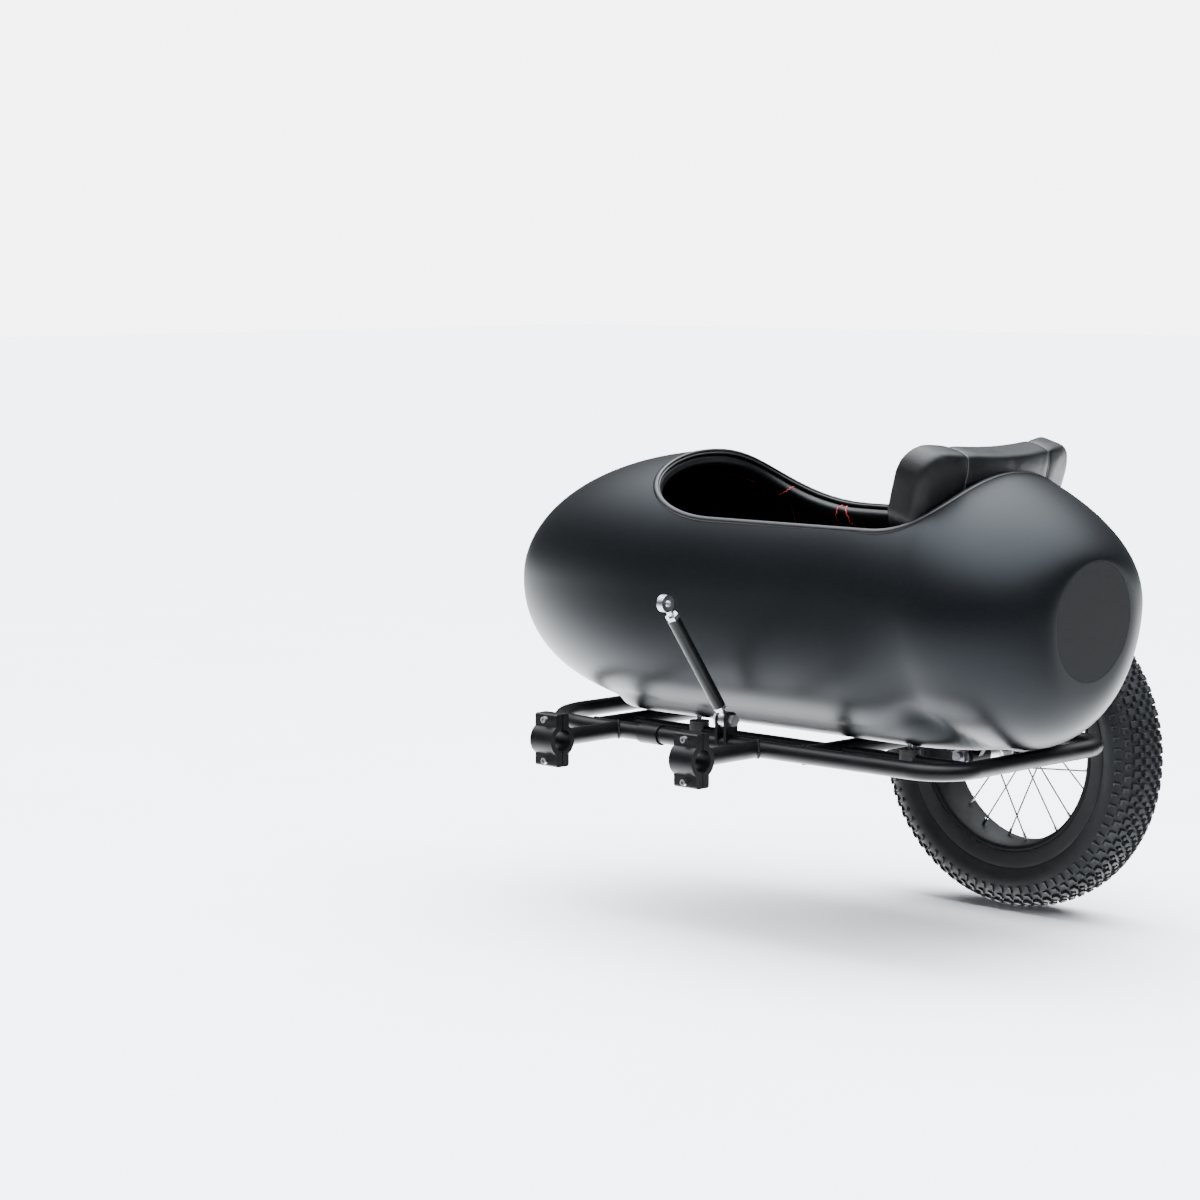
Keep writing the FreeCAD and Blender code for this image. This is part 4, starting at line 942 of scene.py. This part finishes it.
def fit_box(points, low, high):
    """Points stretched to fill a box."""
    found_low, found_high = points.min(0), points.max(0)
    share = (points - found_low) / (found_high - found_low)
    return np.array(low) + share * (np.array(high) - np.array(low))


def seam_groove(points, out, distance, depth, width):
    """Push points in along their normals near a seam."""
    near = np.exp(-(distance / width) ** 2)
    return points - out * (near * depth)[:, None]


def draw_in(points, out, seam_x, grooves):
    """Draw a cushion in along its two long seams, by (depth, width) grooves."""
    for side in (-1, 1):
        away = np.abs(points[:, 0] - side * seam_x)
        for depth, width in grooves:
            points = seam_groove(points, out, away, depth, width)
    return points


def welts(name, piece, places):
    """Thin cords round a cushion, one at each place across its width."""
    lines = [even_path(slice_loop(piece, (x, 0, 0), (1, 0, 0)), WELT_STEP) for x in places]
    return cord_tube(name, lines, WELT_R, closed=True)


def slice_loop(piece, point, direction):
    """The longest closed line where a plane cuts a mesh, as ordered points."""
    work = bmesh.new()
    work.from_mesh(piece.data)
    cut = bmesh.ops.bisect_plane(work, geom=work.verts[:] + work.edges[:] + work.faces[:],
                                 plane_co=point, plane_no=direction, clear_inner=True)
    edges = [e for e in cut["geom_cut"] if isinstance(e, bmesh.types.BMEdge)]
    nearby = {}
    for edge in edges:
        first, second = edge.verts
        nearby.setdefault(first, []).append(second)
        nearby.setdefault(second, []).append(first)
    best, seen = [], set()
    for first in nearby:
        if first in seen:
            continue
        walk, at, before = [], first, None
        while at is not None and at not in seen:
            seen.add(at)
            walk.append(at.co.copy())
            onward = [v for v in nearby[at] if v is not before and v not in seen]
            before, at = at, (onward[0] if onward else None)
        if len(walk) > len(best):
            best = walk
    work.free()
    return np.array(best)


def even_path(path, spacing, closed=True, smooth=2):
    """A path resampled at an even spacing."""
    path = np.array(path)
    if closed:
        path = np.vstack([path, path[:1]])
    along = np.concatenate([[0], np.cumsum(np.linalg.norm(np.diff(path, axis=0), axis=1))])
    count = max(4, int(along[-1] / spacing))
    wanted = np.linspace(0, along[-1], count, endpoint=not closed)
    path = np.stack([np.interp(wanted, along, path[:, i]) for i in range(3)], 1)
    for _ in range(smooth if closed else 0):
        path = 0.5 * path + 0.25 * (np.roll(path, 1, 0) + np.roll(path, -1, 0))
    return path


# Operators, one for each piece or group of like pieces

class SIDECAR_OT_finishes(bpy.types.Operator):
    """Give every CAD node its paint, metal, rubber or wood"""
    bl_idname = "sidecar.finishes"
    bl_label = "Finishes"

    def execute(self, context):
        made = finishes()
        special = {"tail_plate": "tail_plate", "coaming_pad": "coaming_leather",
                   "pod_pads": "pad_rubber", "floor_mat": "pad_rubber"}
        for row in frame["record"]["subparts"]:
            name = row["node"]
            wear(NODES[name], made[special.get(name, row["material_slot"])])
        return {"FINISHED"}


class SIDECAR_OT_body(bpy.types.Operator):
    """The moulded body with its soft crease, tail recess and cockpit opening"""
    bl_idname = "sidecar.body"
    bl_label = "Body"

    def execute(self, context):
        made = finishes()
        s = context.scene.sidecar_body
        keel_side = np.radians(np.linspace(-132, -48, 85))
        upper_side = np.radians(np.linspace(-48, 228, 150))[1:-1]
        angles = np.concatenate([keel_side, upper_side])
        shell = mesh_object("body_shell", *shell_surface(stations(34, 62, 46), outer_ring, angles))
        clean(shell)
        fewer = np.radians(np.linspace(-90, 270, 97))[:-1]
        hollow = mesh_object("hollow", *shell_surface(stations(14, 30, 18, s.wall), inner_ring, fewer))
        clean(hollow)

        def add_hollow(work):
            outside = len(work.faces)
            work.from_mesh(hollow.data)
            work.faces.ensure_lookup_table()
            bmesh.ops.reverse_faces(work, faces=work.faces[outside:])
        edit_mesh(shell, add_hollow)
        bpy.data.objects.remove(hollow)
        cut_away(shell, [cockpit_cutter(), disc_cutter(s.tail_plate_r - 1.0 * MM, 3.0 * MM)])
        shell.data.polygons.foreach_set("use_smooth", [True] * len(shell.data.polygons))
        sharpen(shell, 38)
        finish_piece(shell, made["body_paint"], "chassis", ("pod_shell",))
        return {"FINISHED"}


class SIDECAR_OT_edge_trim(bpy.types.Operator):
    """The rubber trim on the cockpit's edge, with its two ridges"""
    bl_idname = "sidecar.edge_trim"
    bl_label = "Edge trim"

    def execute(self, context):
        made = finishes()
        loop, out, into = sill_loop()
        ridges = [(1.5, -5.0), (1.8, -1.0), (1.7, 1.2), (1.0, 2.6), (-0.4, 3.2), (-1.6, 2.6),
                  (-2.2, 1.2), (-2.8, 1.2), (-3.4, 2.6), (-4.6, 3.4), (-6.0, 2.8), (-6.8, 1.4),
                  (-6.9, -1.0), (-5.6, -5.0)]
        piece = swept("edge_trim", loop, out, into, np.array(ridges) * MM)
        finish_piece(piece, made["trim_rubber"], "chassis", ("rim_bead",))
        return {"FINISHED"}


# Where each contrast seam crosses the coaming: at the trim and at the lining
CROSSINGS = ((0.234, 0.246), (0.152, 0.161), (0.145, 0.130))
# The seams down the lining, as (y, z) points in millimetres from the coaming downwards
LINING_RUNS = (((246.0, 345.0), (252.0, 338.0), (259.0, 321.0), (262.0, 280.0), (262.0, 230.0)),
               ((350.7, 372.8), (318.0, 361.0), (290.0, 349.5), (250.0, 331.0), (225.0, 320.0),
                (170.0, 287.0), (140.0, 262.0)),
               ((158.0, 318.0), (165.0, 306.0), (170.0, 285.0), (173.0, 240.0)),
               ((139.0, 316.0), (131.0, 303.0), (119.0, 284.4), (100.0, 255.0), (80.0, 228.0)))
STITCH_STEP = 3.0 * MM


def coaming_places(loop):
    """The seams' crossings as pairs of indices of the loop."""
    s = bpy.context.scene.sidecar_body
    right = loop[:, 0] > s.centre_x
    found = []
    for side in (right, ~right):
        for pair in CROSSINGS:
            found.append([int(np.argmin(np.abs(loop[:, 1] - y) + np.where(side, 0.0, 9.0)))
                          for y in pair])
    return found


class SIDECAR_OT_coaming(bpy.types.Operator):
    """The padded roll inside the cockpit's edge, drawn in at its seams"""
    bl_idname = "sidecar.coaming"
    bl_label = "Coaming"

    def execute(self, context):
        made = finishes()
        s = context.scene.sidecar_body
        loop, out, into = sill_loop()
        places = coaming_places(loop)
        middles = [sum(pair) / 2 for pair in places]
        count = len(loop)
        apart = np.linalg.norm(loop[1] - loop[0])
        turns = np.linspace(0, math.tau, 28, endpoint=False)
        half_thick, half_deep = 9.2 * MM, 15.4 * MM
        centre_a, centre_b = -(s.wall + 9.8 * MM), -15.0 * MM
        c, k = np.cos(turns), np.sin(turns)
        profile = np.stack([half_thick * np.sign(c) * np.abs(c) ** 0.78,
                            half_deep * np.sign(k) * np.abs(k) ** 0.72], 1)

        def pinched(i, shape):
            away = min(min(abs(i - p), count - abs(i - p)) for p in middles) * apart
            pinch = 1.0 - 0.05 * math.exp(-(away / 0.008) ** 2)
            return shape * (pinch, 0.5 + 0.5 * pinch) + (centre_a, centre_b)

        piece = swept("coaming_roll", loop, out, into, profile, pinched)
        finish_piece(piece, made["coaming_leather"], "chassis", ("coaming_pad",))

        seams = []
        order = [i for i in range(len(turns)) if 0.30 * math.pi <= turns[i] <= 1.45 * math.pi]
        for first, last in places:
            path = []
            for step, i in enumerate(order):
                share = step / (len(order) - 1)
                at = int(round(first + (last - first) * share))
                a, b = profile[i] * (0.99, 0.995) + (centre_a, centre_b)
                path.append(loop[at] + a * out[at] + b * into[at])
            seams.append(even_path(path, 0.0015, closed=False))
        thread = beads("coaming_seams", seams, STITCH_STEP, (0.0034, 0.0015, 0.0015), made["thread"])
        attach(thread, "chassis")
        return {"FINISHED"}


class SIDECAR_OT_lining_seams(bpy.types.Operator):
    """The contrast seams that run down the lining"""
    bl_idname = "sidecar.lining_seams"
    bl_label = "Lining seams"

    def execute(self, context):
        made = finishes()
        s = context.scene.sidecar_body
        inset = s.wall + 4.9 * MM
        paths = []
        for side in (-1, 1):
            for run in LINING_RUNS:
                fine = even_path(np.array([(0.0, y, z) for y, z in run]) * MM, 0.002, closed=False)
                for _ in range(20):
                    fine[1:-1] = 0.5 * fine[1:-1] + 0.25 * (fine[2:] + fine[:-2])
                path = []
                for _, y, z in fine:
                    reach = side_reach(y, z, inset)
                    if reach is not None:
                        path.append((s.centre_x + side * reach, y, z))
                paths.append(path)
        thread = beads("lining_seams", paths, STITCH_STEP, (0.0034, 0.0014, 0.0014), made["thread"])
        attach(thread, "chassis")
        return {"FINISHED"}


class SIDECAR_OT_backrest(bpy.types.Operator):
    """The stuffed backrest with its two long seams"""
    bl_idname = "sidecar.backrest"
    bl_label = "Backrest"
    neck_top, neck_flare = 165.0 * MM, 45.0 * MM

    def execute(self, context):
        made = finishes()
        s = context.scene.sidecar_seat
        outline = rounded_outline(s.back_half_width, 0.0, s.back_height, 22.0 * MM, s.back_corner_r)
        piece = slab("backrest", outline, s.back_thickness, 7.0 * MM)
        stuff(piece, cap=4.0 * MM)
        plump = 6.0 * MM
        points = fit_box(coordinates(piece), (-s.back_half_width - plump, -s.back_thickness, 0.0),
                         (s.back_half_width + plump, plump, s.back_height + plump))
        points = draw_in(points, normals(piece), s.seam_x, ((1.6 * MM, 9.0 * MM), (1.4 * MM, 3.0 * MM)))
        x, y, z = points.T
        rise = np.clip((z - self.neck_top) / self.neck_flare, 0, 1)
        rise = rise * rise * (3 - 2 * rise)
        squeeze = s.back_neck / s.back_half_width
        x = x * (squeeze + (1 - squeeze) * rise)
        z = z - 2.0 * MM * np.exp(-(x / 0.075) ** 2) * np.clip((z - 0.14) / 0.15, 0, 1)
        y = y - s.back_bow * (1 - (x / s.back_half_width) ** 2)
        c, k = math.cos(s.back_lean), math.sin(s.back_lean)
        foot_z = s.seat_base + s.seat_thickness + 0.4 * MM
        centre_x = context.scene.sidecar_body.centre_x
        set_coordinates(piece, np.stack([centre_x + x, s.back_foot_y + y * c - z * k,
                                         foot_z + y * k + z * c], 1))
        welt = welts("backrest_welts", piece, [centre_x + side * s.seam_x * 0.997 for side in (-1, 1)])
        finish_piece(piece, made["black_leather"], "chassis", ("back_cushion",))
        finish_piece(welt, made["dark_thread"], "chassis")
        return {"FINISHED"}


class SIDECAR_OT_seat(bpy.types.Operator):
    """The stuffed seat cushion with its seams"""
    bl_idname = "sidecar.seat"
    bl_label = "Seat cushion"

    def execute(self, context):
        made = finishes()
        s = context.scene.sidecar_seat
        outline = rounded_outline(s.seat_half_width, s.seat_rear, s.seat_front, 30.0 * MM, 34.0 * MM)
        piece = slab("seat_pad", outline, s.seat_thickness, 12.0 * MM)
        stuff(piece, cap=8.0 * MM)
        points = fit_box(coordinates(piece), (-s.seat_half_width, -s.seat_thickness, s.seat_rear),
                         (s.seat_half_width, 0.0, s.seat_front))
        points = draw_in(points, normals(piece), s.seam_x, ((3.0 * MM, 12.0 * MM), (2.2 * MM, 3.0 * MM)))
        x, down, along = points.T
        top = s.seat_base + s.seat_thickness
        z = np.maximum(top + down, s.seat_base + 0.2 * MM)
        centre_x = context.scene.sidecar_body.centre_x
        set_coordinates(piece, np.stack([centre_x + x, along, z], 1))
        edit_mesh(piece, lambda work: bmesh.ops.recalc_face_normals(work, faces=work.faces))
        welt = welts("seat_welts", piece, [centre_x + side * s.seam_x for side in (-1, 1)])
        finish_piece(piece, made["black_leather"], "chassis", ("seat_cushion",))
        finish_piece(welt, made["dark_thread"], "chassis")
        return {"FINISHED"}


# The wheel

def turned(name, profile, hub, segments=240):
    """A closed profile of (x, r) points turned about the axle."""
    profile = np.array(profile)
    rings = []
    for turn in np.linspace(0, math.tau, segments, endpoint=False):
        rings.append(np.stack([hub[0] + profile[:, 0], hub[1] + profile[:, 1] * math.sin(turn),
                               hub[2] + profile[:, 1] * math.cos(turn)], 1))
    piece = mesh_object(name, np.concatenate(rings),
                        grid_faces(segments, len(profile), True))
    edit_mesh(piece, lambda work: bmesh.ops.recalc_face_normals(work, faces=work.faces))
    return piece


def casing_point(degrees, side, w):
    """A point of the casing above its widest line: 0 at the side and 90 at the crown."""
    angle = math.radians(degrees)
    rise = w.tyre_r - w.knob - w.widest_r
    return (side * w.half_width * max(0.0, math.cos(angle)) ** 0.8, w.widest_r + rise * math.sin(angle))


# The casing below its widest line: a bulge, a valley and the flat ring beside the rim
LOWER_SIDE = [(49.7, 200.6), (48.9, 197.4), (47.5, 194.2), (45.7, 191.2), (43.8, 188.6), (42.1, 186.6),
              (40.9, 185.2), (40.3, 184.3), (40.2, 183.5), (40.7, 182.9), (41.3, 182.3), (41.5, 181.4),
              (41.4, 178.0), (41.0, 173.5), (40.3, 169.0), (39.5, 165.0), (38.7, 161.8), (38.0, 160.4),
              (36.9, 159.7), (35.0, 159.4)]
# Outlines of the knobs in millimetres, round the wheel and toward the crown, then how deep they
# root in the casing and how far their tops taper
HOOK = [(-2.0, -6.5), (4.6, -6.5), (4.6, 6.0), (2.2, 6.0), (2.2, -3.8), (-2.0, -3.8)]
FORK = [(-5.5, -5.5), (5.0, -5.5), (5.0, 5.5), (-1.5, 5.5), (-1.5, 2.6), (1.8, 2.6), (1.8, -0.6),
        (-5.5, -0.6)]
STEP = [(-5.4, -5.4), (5.4, -5.4), (5.4, 5.4), (-2.6, 5.4), (-2.6, 2.0), (-5.4, 2.0)]
BLOCK = [(-4.6, -4.6), (4.2, -4.6), (4.6, -3.2), (4.6, 4.2), (-3.4, 4.6), (-4.6, 3.4)]
SMALL = [(-3.4, -3.2), (3.4, -3.2), (3.4, 3.2), (-3.4, 3.2)]
KNOB_ROOT, KNOB_TAPER = 2.0, 0.86
# Rows of knobs: outline, angle up the casing, offset round the wheel and heights at both ends
KNOBS = [(HOOK, 20.0, 2.0, (1.2, 3.0)), (FORK, 40.0, -3.4, (1.8, 3.6)),
         (STEP, 58.0, 3.7, (4.4, 4.8)), (SMALL, 67.5, -4.9, (4.9, 5.2)),
         (BLOCK, 77.5, 4.0, (5.8, 6.0)), (SMALL, 86.5, -4.6, (6.0, 6.0))]


def knob_shape(work, outline, degrees, side, lead, heights, w):
    """One knob that stands square on the casing: its outline in millimetres round the wheel and
    toward the crown, and its heights at the two ends of its run round the wheel."""
    (x0, r0), (x1, r1) = casing_point(degrees - 1, side, w), casing_point(degrees + 1, side, w)
    turn = -side * lead * MM / r0
    radial = Vector((0, math.sin(turn), math.cos(turn)))
    around = Vector((0, math.cos(turn), -math.sin(turn))) * -side
    toward = (Vector((x1 - x0, 0, 0)) + radial * (r1 - r0)).normalized()
    away = around.cross(toward).normalized()
    foot = Vector(((x0 + x1) / 2, 0, 0)) + radial * ((r0 + r1) / 2)
    if away.dot(foot - radial * w.widest_r) < 0:
        away = -away
    places = np.array(outline)
    middle = (places.max(0) + places.min(0)) / 2
    first, last = places[:, 0].min(), places[:, 0].max()
    loops = []
    for top in (False, True):
        loop = []
        for place in places:
            share = (place[0] - first) / (last - first)
            height = heights[0] + (heights[1] - heights[0]) * share if top else -KNOB_ROOT
            a, b = middle + (place - middle) * (KNOB_TAPER if top else 1.0)
            loop.append(work.verts.new(foot + (around * a + toward * b + away * height) * MM))
        loops.append(loop)
    count = len(outline)
    work.faces.new(loops[1])
    for i in range(count):
        j = (i + 1) % count
        work.faces.new((loops[0][i], loops[0][j], loops[1][j], loops[1][i]))


class SIDECAR_OT_rim(bpy.types.Operator):
    """The rim: one smooth bed between two rolled lips"""
    bl_idname = "sidecar.rim"
    bl_label = "Rim"

    def execute(self, context):
        made = finishes()
        w = context.scene.sidecar_wheel
        wide, lip, wall = w.rim_half_width, w.lip_r, 2.6 * MM
        bed = [(x, w.bed_r + 5.6 * MM * abs(x / (0.93 * wide)) ** 2.6)
               for x in np.linspace(-0.93 * wide, 0.93 * wide, 41)]
        edge = [(wide - 1.4 * MM, lip - 7.2 * MM), (wide - 0.3 * MM, lip - 5.6 * MM),
                (wide, lip - 3.5 * MM), (wide, lip - 1.2 * MM), (wide - 0.5 * MM, lip - 0.3 * MM),
                (wide - 1.3 * MM, lip), (wide - 2.1 * MM, lip - 0.3 * MM),
                (wide - wall, lip - 1.2 * MM), (wide - wall, lip - 5.0 * MM)]
        back = [(x, r + wall) for x, r in bed[::-1] if abs(x) < 0.90 * wide]
        profile = bed + edge + back + [(-x, r) for x, r in edge[::-1]]
        rim = turned("rim_band", profile, tuple(w.hub))
        sharpen(rim, 40)
        finish_piece(rim, made["rim_black"], "wheel", ("rim",))
        return {"FINISHED"}


class SIDECAR_OT_tyre(bpy.types.Operator):
    """The tyre's casing and its knobbed tread"""
    bl_idname = "sidecar.tyre"
    bl_label = "Tyre"

    def execute(self, context):
        made = finishes()
        w = context.scene.sidecar_wheel
        hub = tuple(w.hub)
        upper = [casing_point(90 - a, 1, w) for a in range(0, 91, 2)]
        bead_x = w.rim_half_width - 3.0 * MM
        outside = upper + [(x * MM, r * MM) for x, r in LOWER_SIDE]
        outside += [(bead_x, w.lip_r + 0.3 * MM), (bead_x, w.bead_r + 0.4 * MM)]
        inside = [(x - 5.0 * MM if x > 6.0 * MM else x, r - (4.0 * MM if r > w.widest_r else 0.0))
                  for x, r in outside[::3]]
        inside.append((bead_x - 5.0 * MM, w.bead_r + 0.4 * MM))
        outer = outside[::-1] + [(-x, r) for x, r in outside[1:]]
        inner = [(-x, r) for x, r in inside[:0:-1]] + inside
        casing = turned("tyre_casing", outer + inner, hub)
        sharpen(casing, 50)
        finish_piece(casing, made["tyre_rubber"], "wheel", ("tyre",))

        work = bmesh.new()
        for side in (-1, 1):
            for outline, degrees, lead, heights in KNOBS:
                knob_shape(work, outline, degrees, side, lead, heights, w)
        bmesh.ops.bevel(work, geom=[e for e in work.edges if len(e.link_faces) == 2], offset=0.0004,
                        segments=1, affect="EDGES")
        bmesh.ops.recalc_face_normals(work, faces=work.faces)
        mesh = bpy.data.meshes.new("tread_pitch")
        work.to_mesh(mesh)
        work.free()
        drawn = bpy.data.objects.new("tread_pitch", mesh)
        context.scene.collection.objects.link(drawn)
        tread = path_object("tyre_tread", [[hub, hub]])
        grow(tread, ring_tree(), {"Pitch": drawn, "Count": w.pitches, "Hub": hub,
                                  "Material": made["tyre_rubber"]})
        bpy.data.objects.remove(drawn)
        sharpen(tread, 28)
        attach(tread, "wheel")
        return {"FINISHED"}


# Chassis details

def saddle(start_x, toward, y, own_r, met_r):
    """The line where a cross tube's end meets a side tube."""
    path = []
    for i in range(48):
        turn = math.tau * i / 48
        across, up = own_r * math.cos(turn), own_r * math.sin(turn)
        reach = math.sqrt(max(0.0, met_r ** 2 - up ** 2))
        path.append((start_x + toward * reach, y + across, up))
    return path


class SIDECAR_OT_welds(bpy.types.Operator):
    """Weld ripples where the chassis tubes meet"""
    bl_idname = "sidecar.welds"
    bl_label = "Welds"

    def execute(self, context):
        made = finishes()
        left, right = 0.141, 0.527
        tube, rail = 12.7 * MM, 9.5 * MM
        paths = []
        for y in (-0.086, 0.330):
            paths.append(saddle(left, 1, y, tube, tube))
            paths.append(saddle(right, -1, y, tube, tube))
        for y in (0.0, 0.280):
            paths.append(saddle(left, -1, y, tube, tube))
        centre = context.scene.sidecar_body.centre_x
        for x in (centre - 0.112, centre + 0.112):
            for y, toward in ((-0.3437, 1), (-0.086, -1), (-0.086, 1), (0.330, -1)):
                path = []
                for i in range(40):
                    turn = math.tau * i / 40
                    across, up = rail * math.cos(turn), rail * math.sin(turn) - 3.0 * MM
                    path.append((x + across, y + toward * math.sqrt(max(0.0, tube ** 2 - up ** 2)), up))
                paths.append(path)
        welds = beads("weld_beads", paths, 0.0026, (0.0034, 0.0048, 0.0040), made["chassis_paint"], True)
        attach(welds, "chassis")
        return {"FINISHED"}


# Stage

# The studio by height, from straight down (0) over the horizon (0.5) to straight up (1)
SKY = [(0.64, (0.004, 0.0042, 0.0045)), (0.77, (0.04, 0.042, 0.045)),
       (0.90, (0.66, 0.70, 0.74)), (1.0, (0.94, 0.97, 1.0))]
FRONT_GROUND = [(0.0, (0.60, 0.62, 0.64)), (0.22, (0.36, 0.38, 0.40)),
                (0.36, (0.03, 0.031, 0.033)), (0.46, (0.003, 0.0032, 0.0035))]
BACK_GROUND = [(0.0, (0.95, 0.97, 1.0)), (0.30, (0.90, 0.93, 0.96)),
               (0.46, (0.24, 0.25, 0.26)), (0.49, (0.010, 0.0105, 0.011))]
BACKDROP = (0.40, 0.40, 0.40, 1.0)


class SIDECAR_OT_stage(bpy.types.Operator):
    """Floor, light and the camera"""
    bl_idname = "sidecar.stage"
    bl_label = "Stage"

    def execute(self, context):
        self.floor(context.scene)
        self.studio(context.scene)
        self.softbox("overhead", (0.3, 0.6, 3.0), (0.33, 0.0, 0.0), 2.4, 60.0)
        self.camera(context.scene)
        return {"FINISHED"}

    def floor(self, scene):
        """A pale floor just under the tyre. Reflections show the studio's ground in its place."""
        w = scene.sidecar_wheel
        z = w.hub[2] - w.tyre_r - 0.5 * MM
        floor = mesh_object("floor", [(-30, -30, z), (30, -30, z), (30, 30, z), (-30, 30, z)],
                            [(0, 1, 2, 3)], False)
        rgb = tuple(scene.sidecar_finishes.floor)
        material, tree, shader, where = new_material("studio_floor", rgb, 0.8)
        vary(tree, shader, noise(tree, where, 3.0, 2.0), rgb, 0.985, 1.01)
        wear(floor, material)
        floor.visible_glossy = False

    def studio(self, scene):
        """Soft light from above, dark at eye level and bright near the ground."""
        world = bpy.data.worlds.new("studio")
        scene.world = world
        world.use_nodes = True
        tree = world.node_tree
        view = add_node(tree, "ShaderNodeTexCoord").outputs["Generated"]
        rise = add_node(tree, "ShaderNodeSeparateXYZ", {0: view}).outputs["Z"]
        height = maths(tree, "MULTIPLY_ADD", rise, 0.5)
        height.node.inputs[2].default_value = 0.5
        beyond = add_node(tree, "ShaderNodeVectorMath", {0: view, 1: (0.71, 0.70, 0.0)},
                          operation="DOT_PRODUCT").outputs["Value"]
        front = ramp(tree, height, FRONT_GROUND + SKY)
        back = ramp(tree, height, BACK_GROUND + SKY)
        behind = ramp(tree, beyond, [(0.0, 0.0), (0.7, 1.0)])
        glow = mixed_colour(tree, behind, front, back)
        camera_ray = add_node(tree, "ShaderNodeLightPath").outputs["Is Camera Ray"]
        seen = mixed_colour(tree, camera_ray, glow, BACKDROP)
        tree.links.new(seen, tree.nodes["Background"].inputs["Color"])
        tree.nodes["Background"].inputs["Strength"].default_value = 15.0

    def softbox(self, name, place, aim, size, power):
        """A square area light aimed at a point."""
        light = bpy.data.lights.new(name, "AREA")
        light.shape = "SQUARE"
        light.size = size
        light.energy = power
        lamp = bpy.data.objects.new(name, light)
        bpy.context.scene.collection.objects.link(lamp)
        lamp.location = place
        lamp.rotation_mode = "QUATERNION"
        lamp.rotation_quaternion = (Vector(aim) - Vector(place)).to_track_quat("-Z", "Y")

    def camera(self, scene):
        """The camera at the photograph's place and angle."""
        camera = bpy.data.objects.new("camera", bpy.data.cameras.new("camera"))
        scene.collection.objects.link(camera)
        azimuth, elevation, roll = math.radians(-45.47), math.radians(6.15), math.radians(-0.09)
        back = Vector((math.sin(azimuth) * math.cos(elevation), -math.cos(azimuth) * math.cos(elevation),
                       math.sin(elevation)))
        turn = back.to_track_quat("Z", "Y").to_matrix().to_4x4()
        camera.matrix_world = (Matrix.Translation((-3.2787, -3.0447, 0.7091)) @ turn
                               @ Matrix.Rotation(roll, 4, "Z"))
        camera.data.lens = 96.1
        camera.data.sensor_width = 36.0
        scene.camera = camera


class SIDECAR_PT_panel(bpy.types.Panel):
    """Lists the pieces in the order they are made"""
    bl_idname = "SIDECAR_PT_panel"
    bl_label = "Sidecar"
    bl_space_type = "VIEW_3D"
    bl_region_type = "UI"
    bl_category = "Sidecar"

    def draw(self, context):
        for group in ("sidecar_body", "sidecar_seat", "sidecar_wheel", "sidecar_finishes"):
            box = self.layout.box()
            sizes = getattr(context.scene, group)
            for name in sizes.__annotations__:
                box.prop(sizes, name)
        for operator in OPERATORS:
            self.layout.operator(operator.bl_idname)


GROUPS = {"sidecar_body": BodySizes, "sidecar_seat": SeatSizes, "sidecar_wheel": WheelSizes,
          "sidecar_finishes": Finishes}
OPERATORS = (SIDECAR_OT_finishes, SIDECAR_OT_body, SIDECAR_OT_edge_trim, SIDECAR_OT_coaming,
             SIDECAR_OT_lining_seams, SIDECAR_OT_backrest, SIDECAR_OT_seat, SIDECAR_OT_rim,
             SIDECAR_OT_tyre, SIDECAR_OT_welds, SIDECAR_OT_stage)


def register():
    for group in GROUPS.values():
        bpy.utils.register_class(group)
    for name, group in GROUPS.items():
        setattr(bpy.types.Scene, name, PointerProperty(type=group))
    for operator in OPERATORS:
        bpy.utils.register_class(operator)
    bpy.utils.register_class(SIDECAR_PT_panel)


def unregister():
    bpy.utils.unregister_class(SIDECAR_PT_panel)
    for operator in reversed(OPERATORS):
        bpy.utils.unregister_class(operator)
    for name, group in GROUPS.items():
        delattr(bpy.types.Scene, name)
        bpy.utils.unregister_class(group)


def main():
    register()
    for operator in OPERATORS:
        group, name = operator.bl_idname.split(".")
        getattr(getattr(bpy.ops, group), name)()


if __name__ == "__main__":
    main()
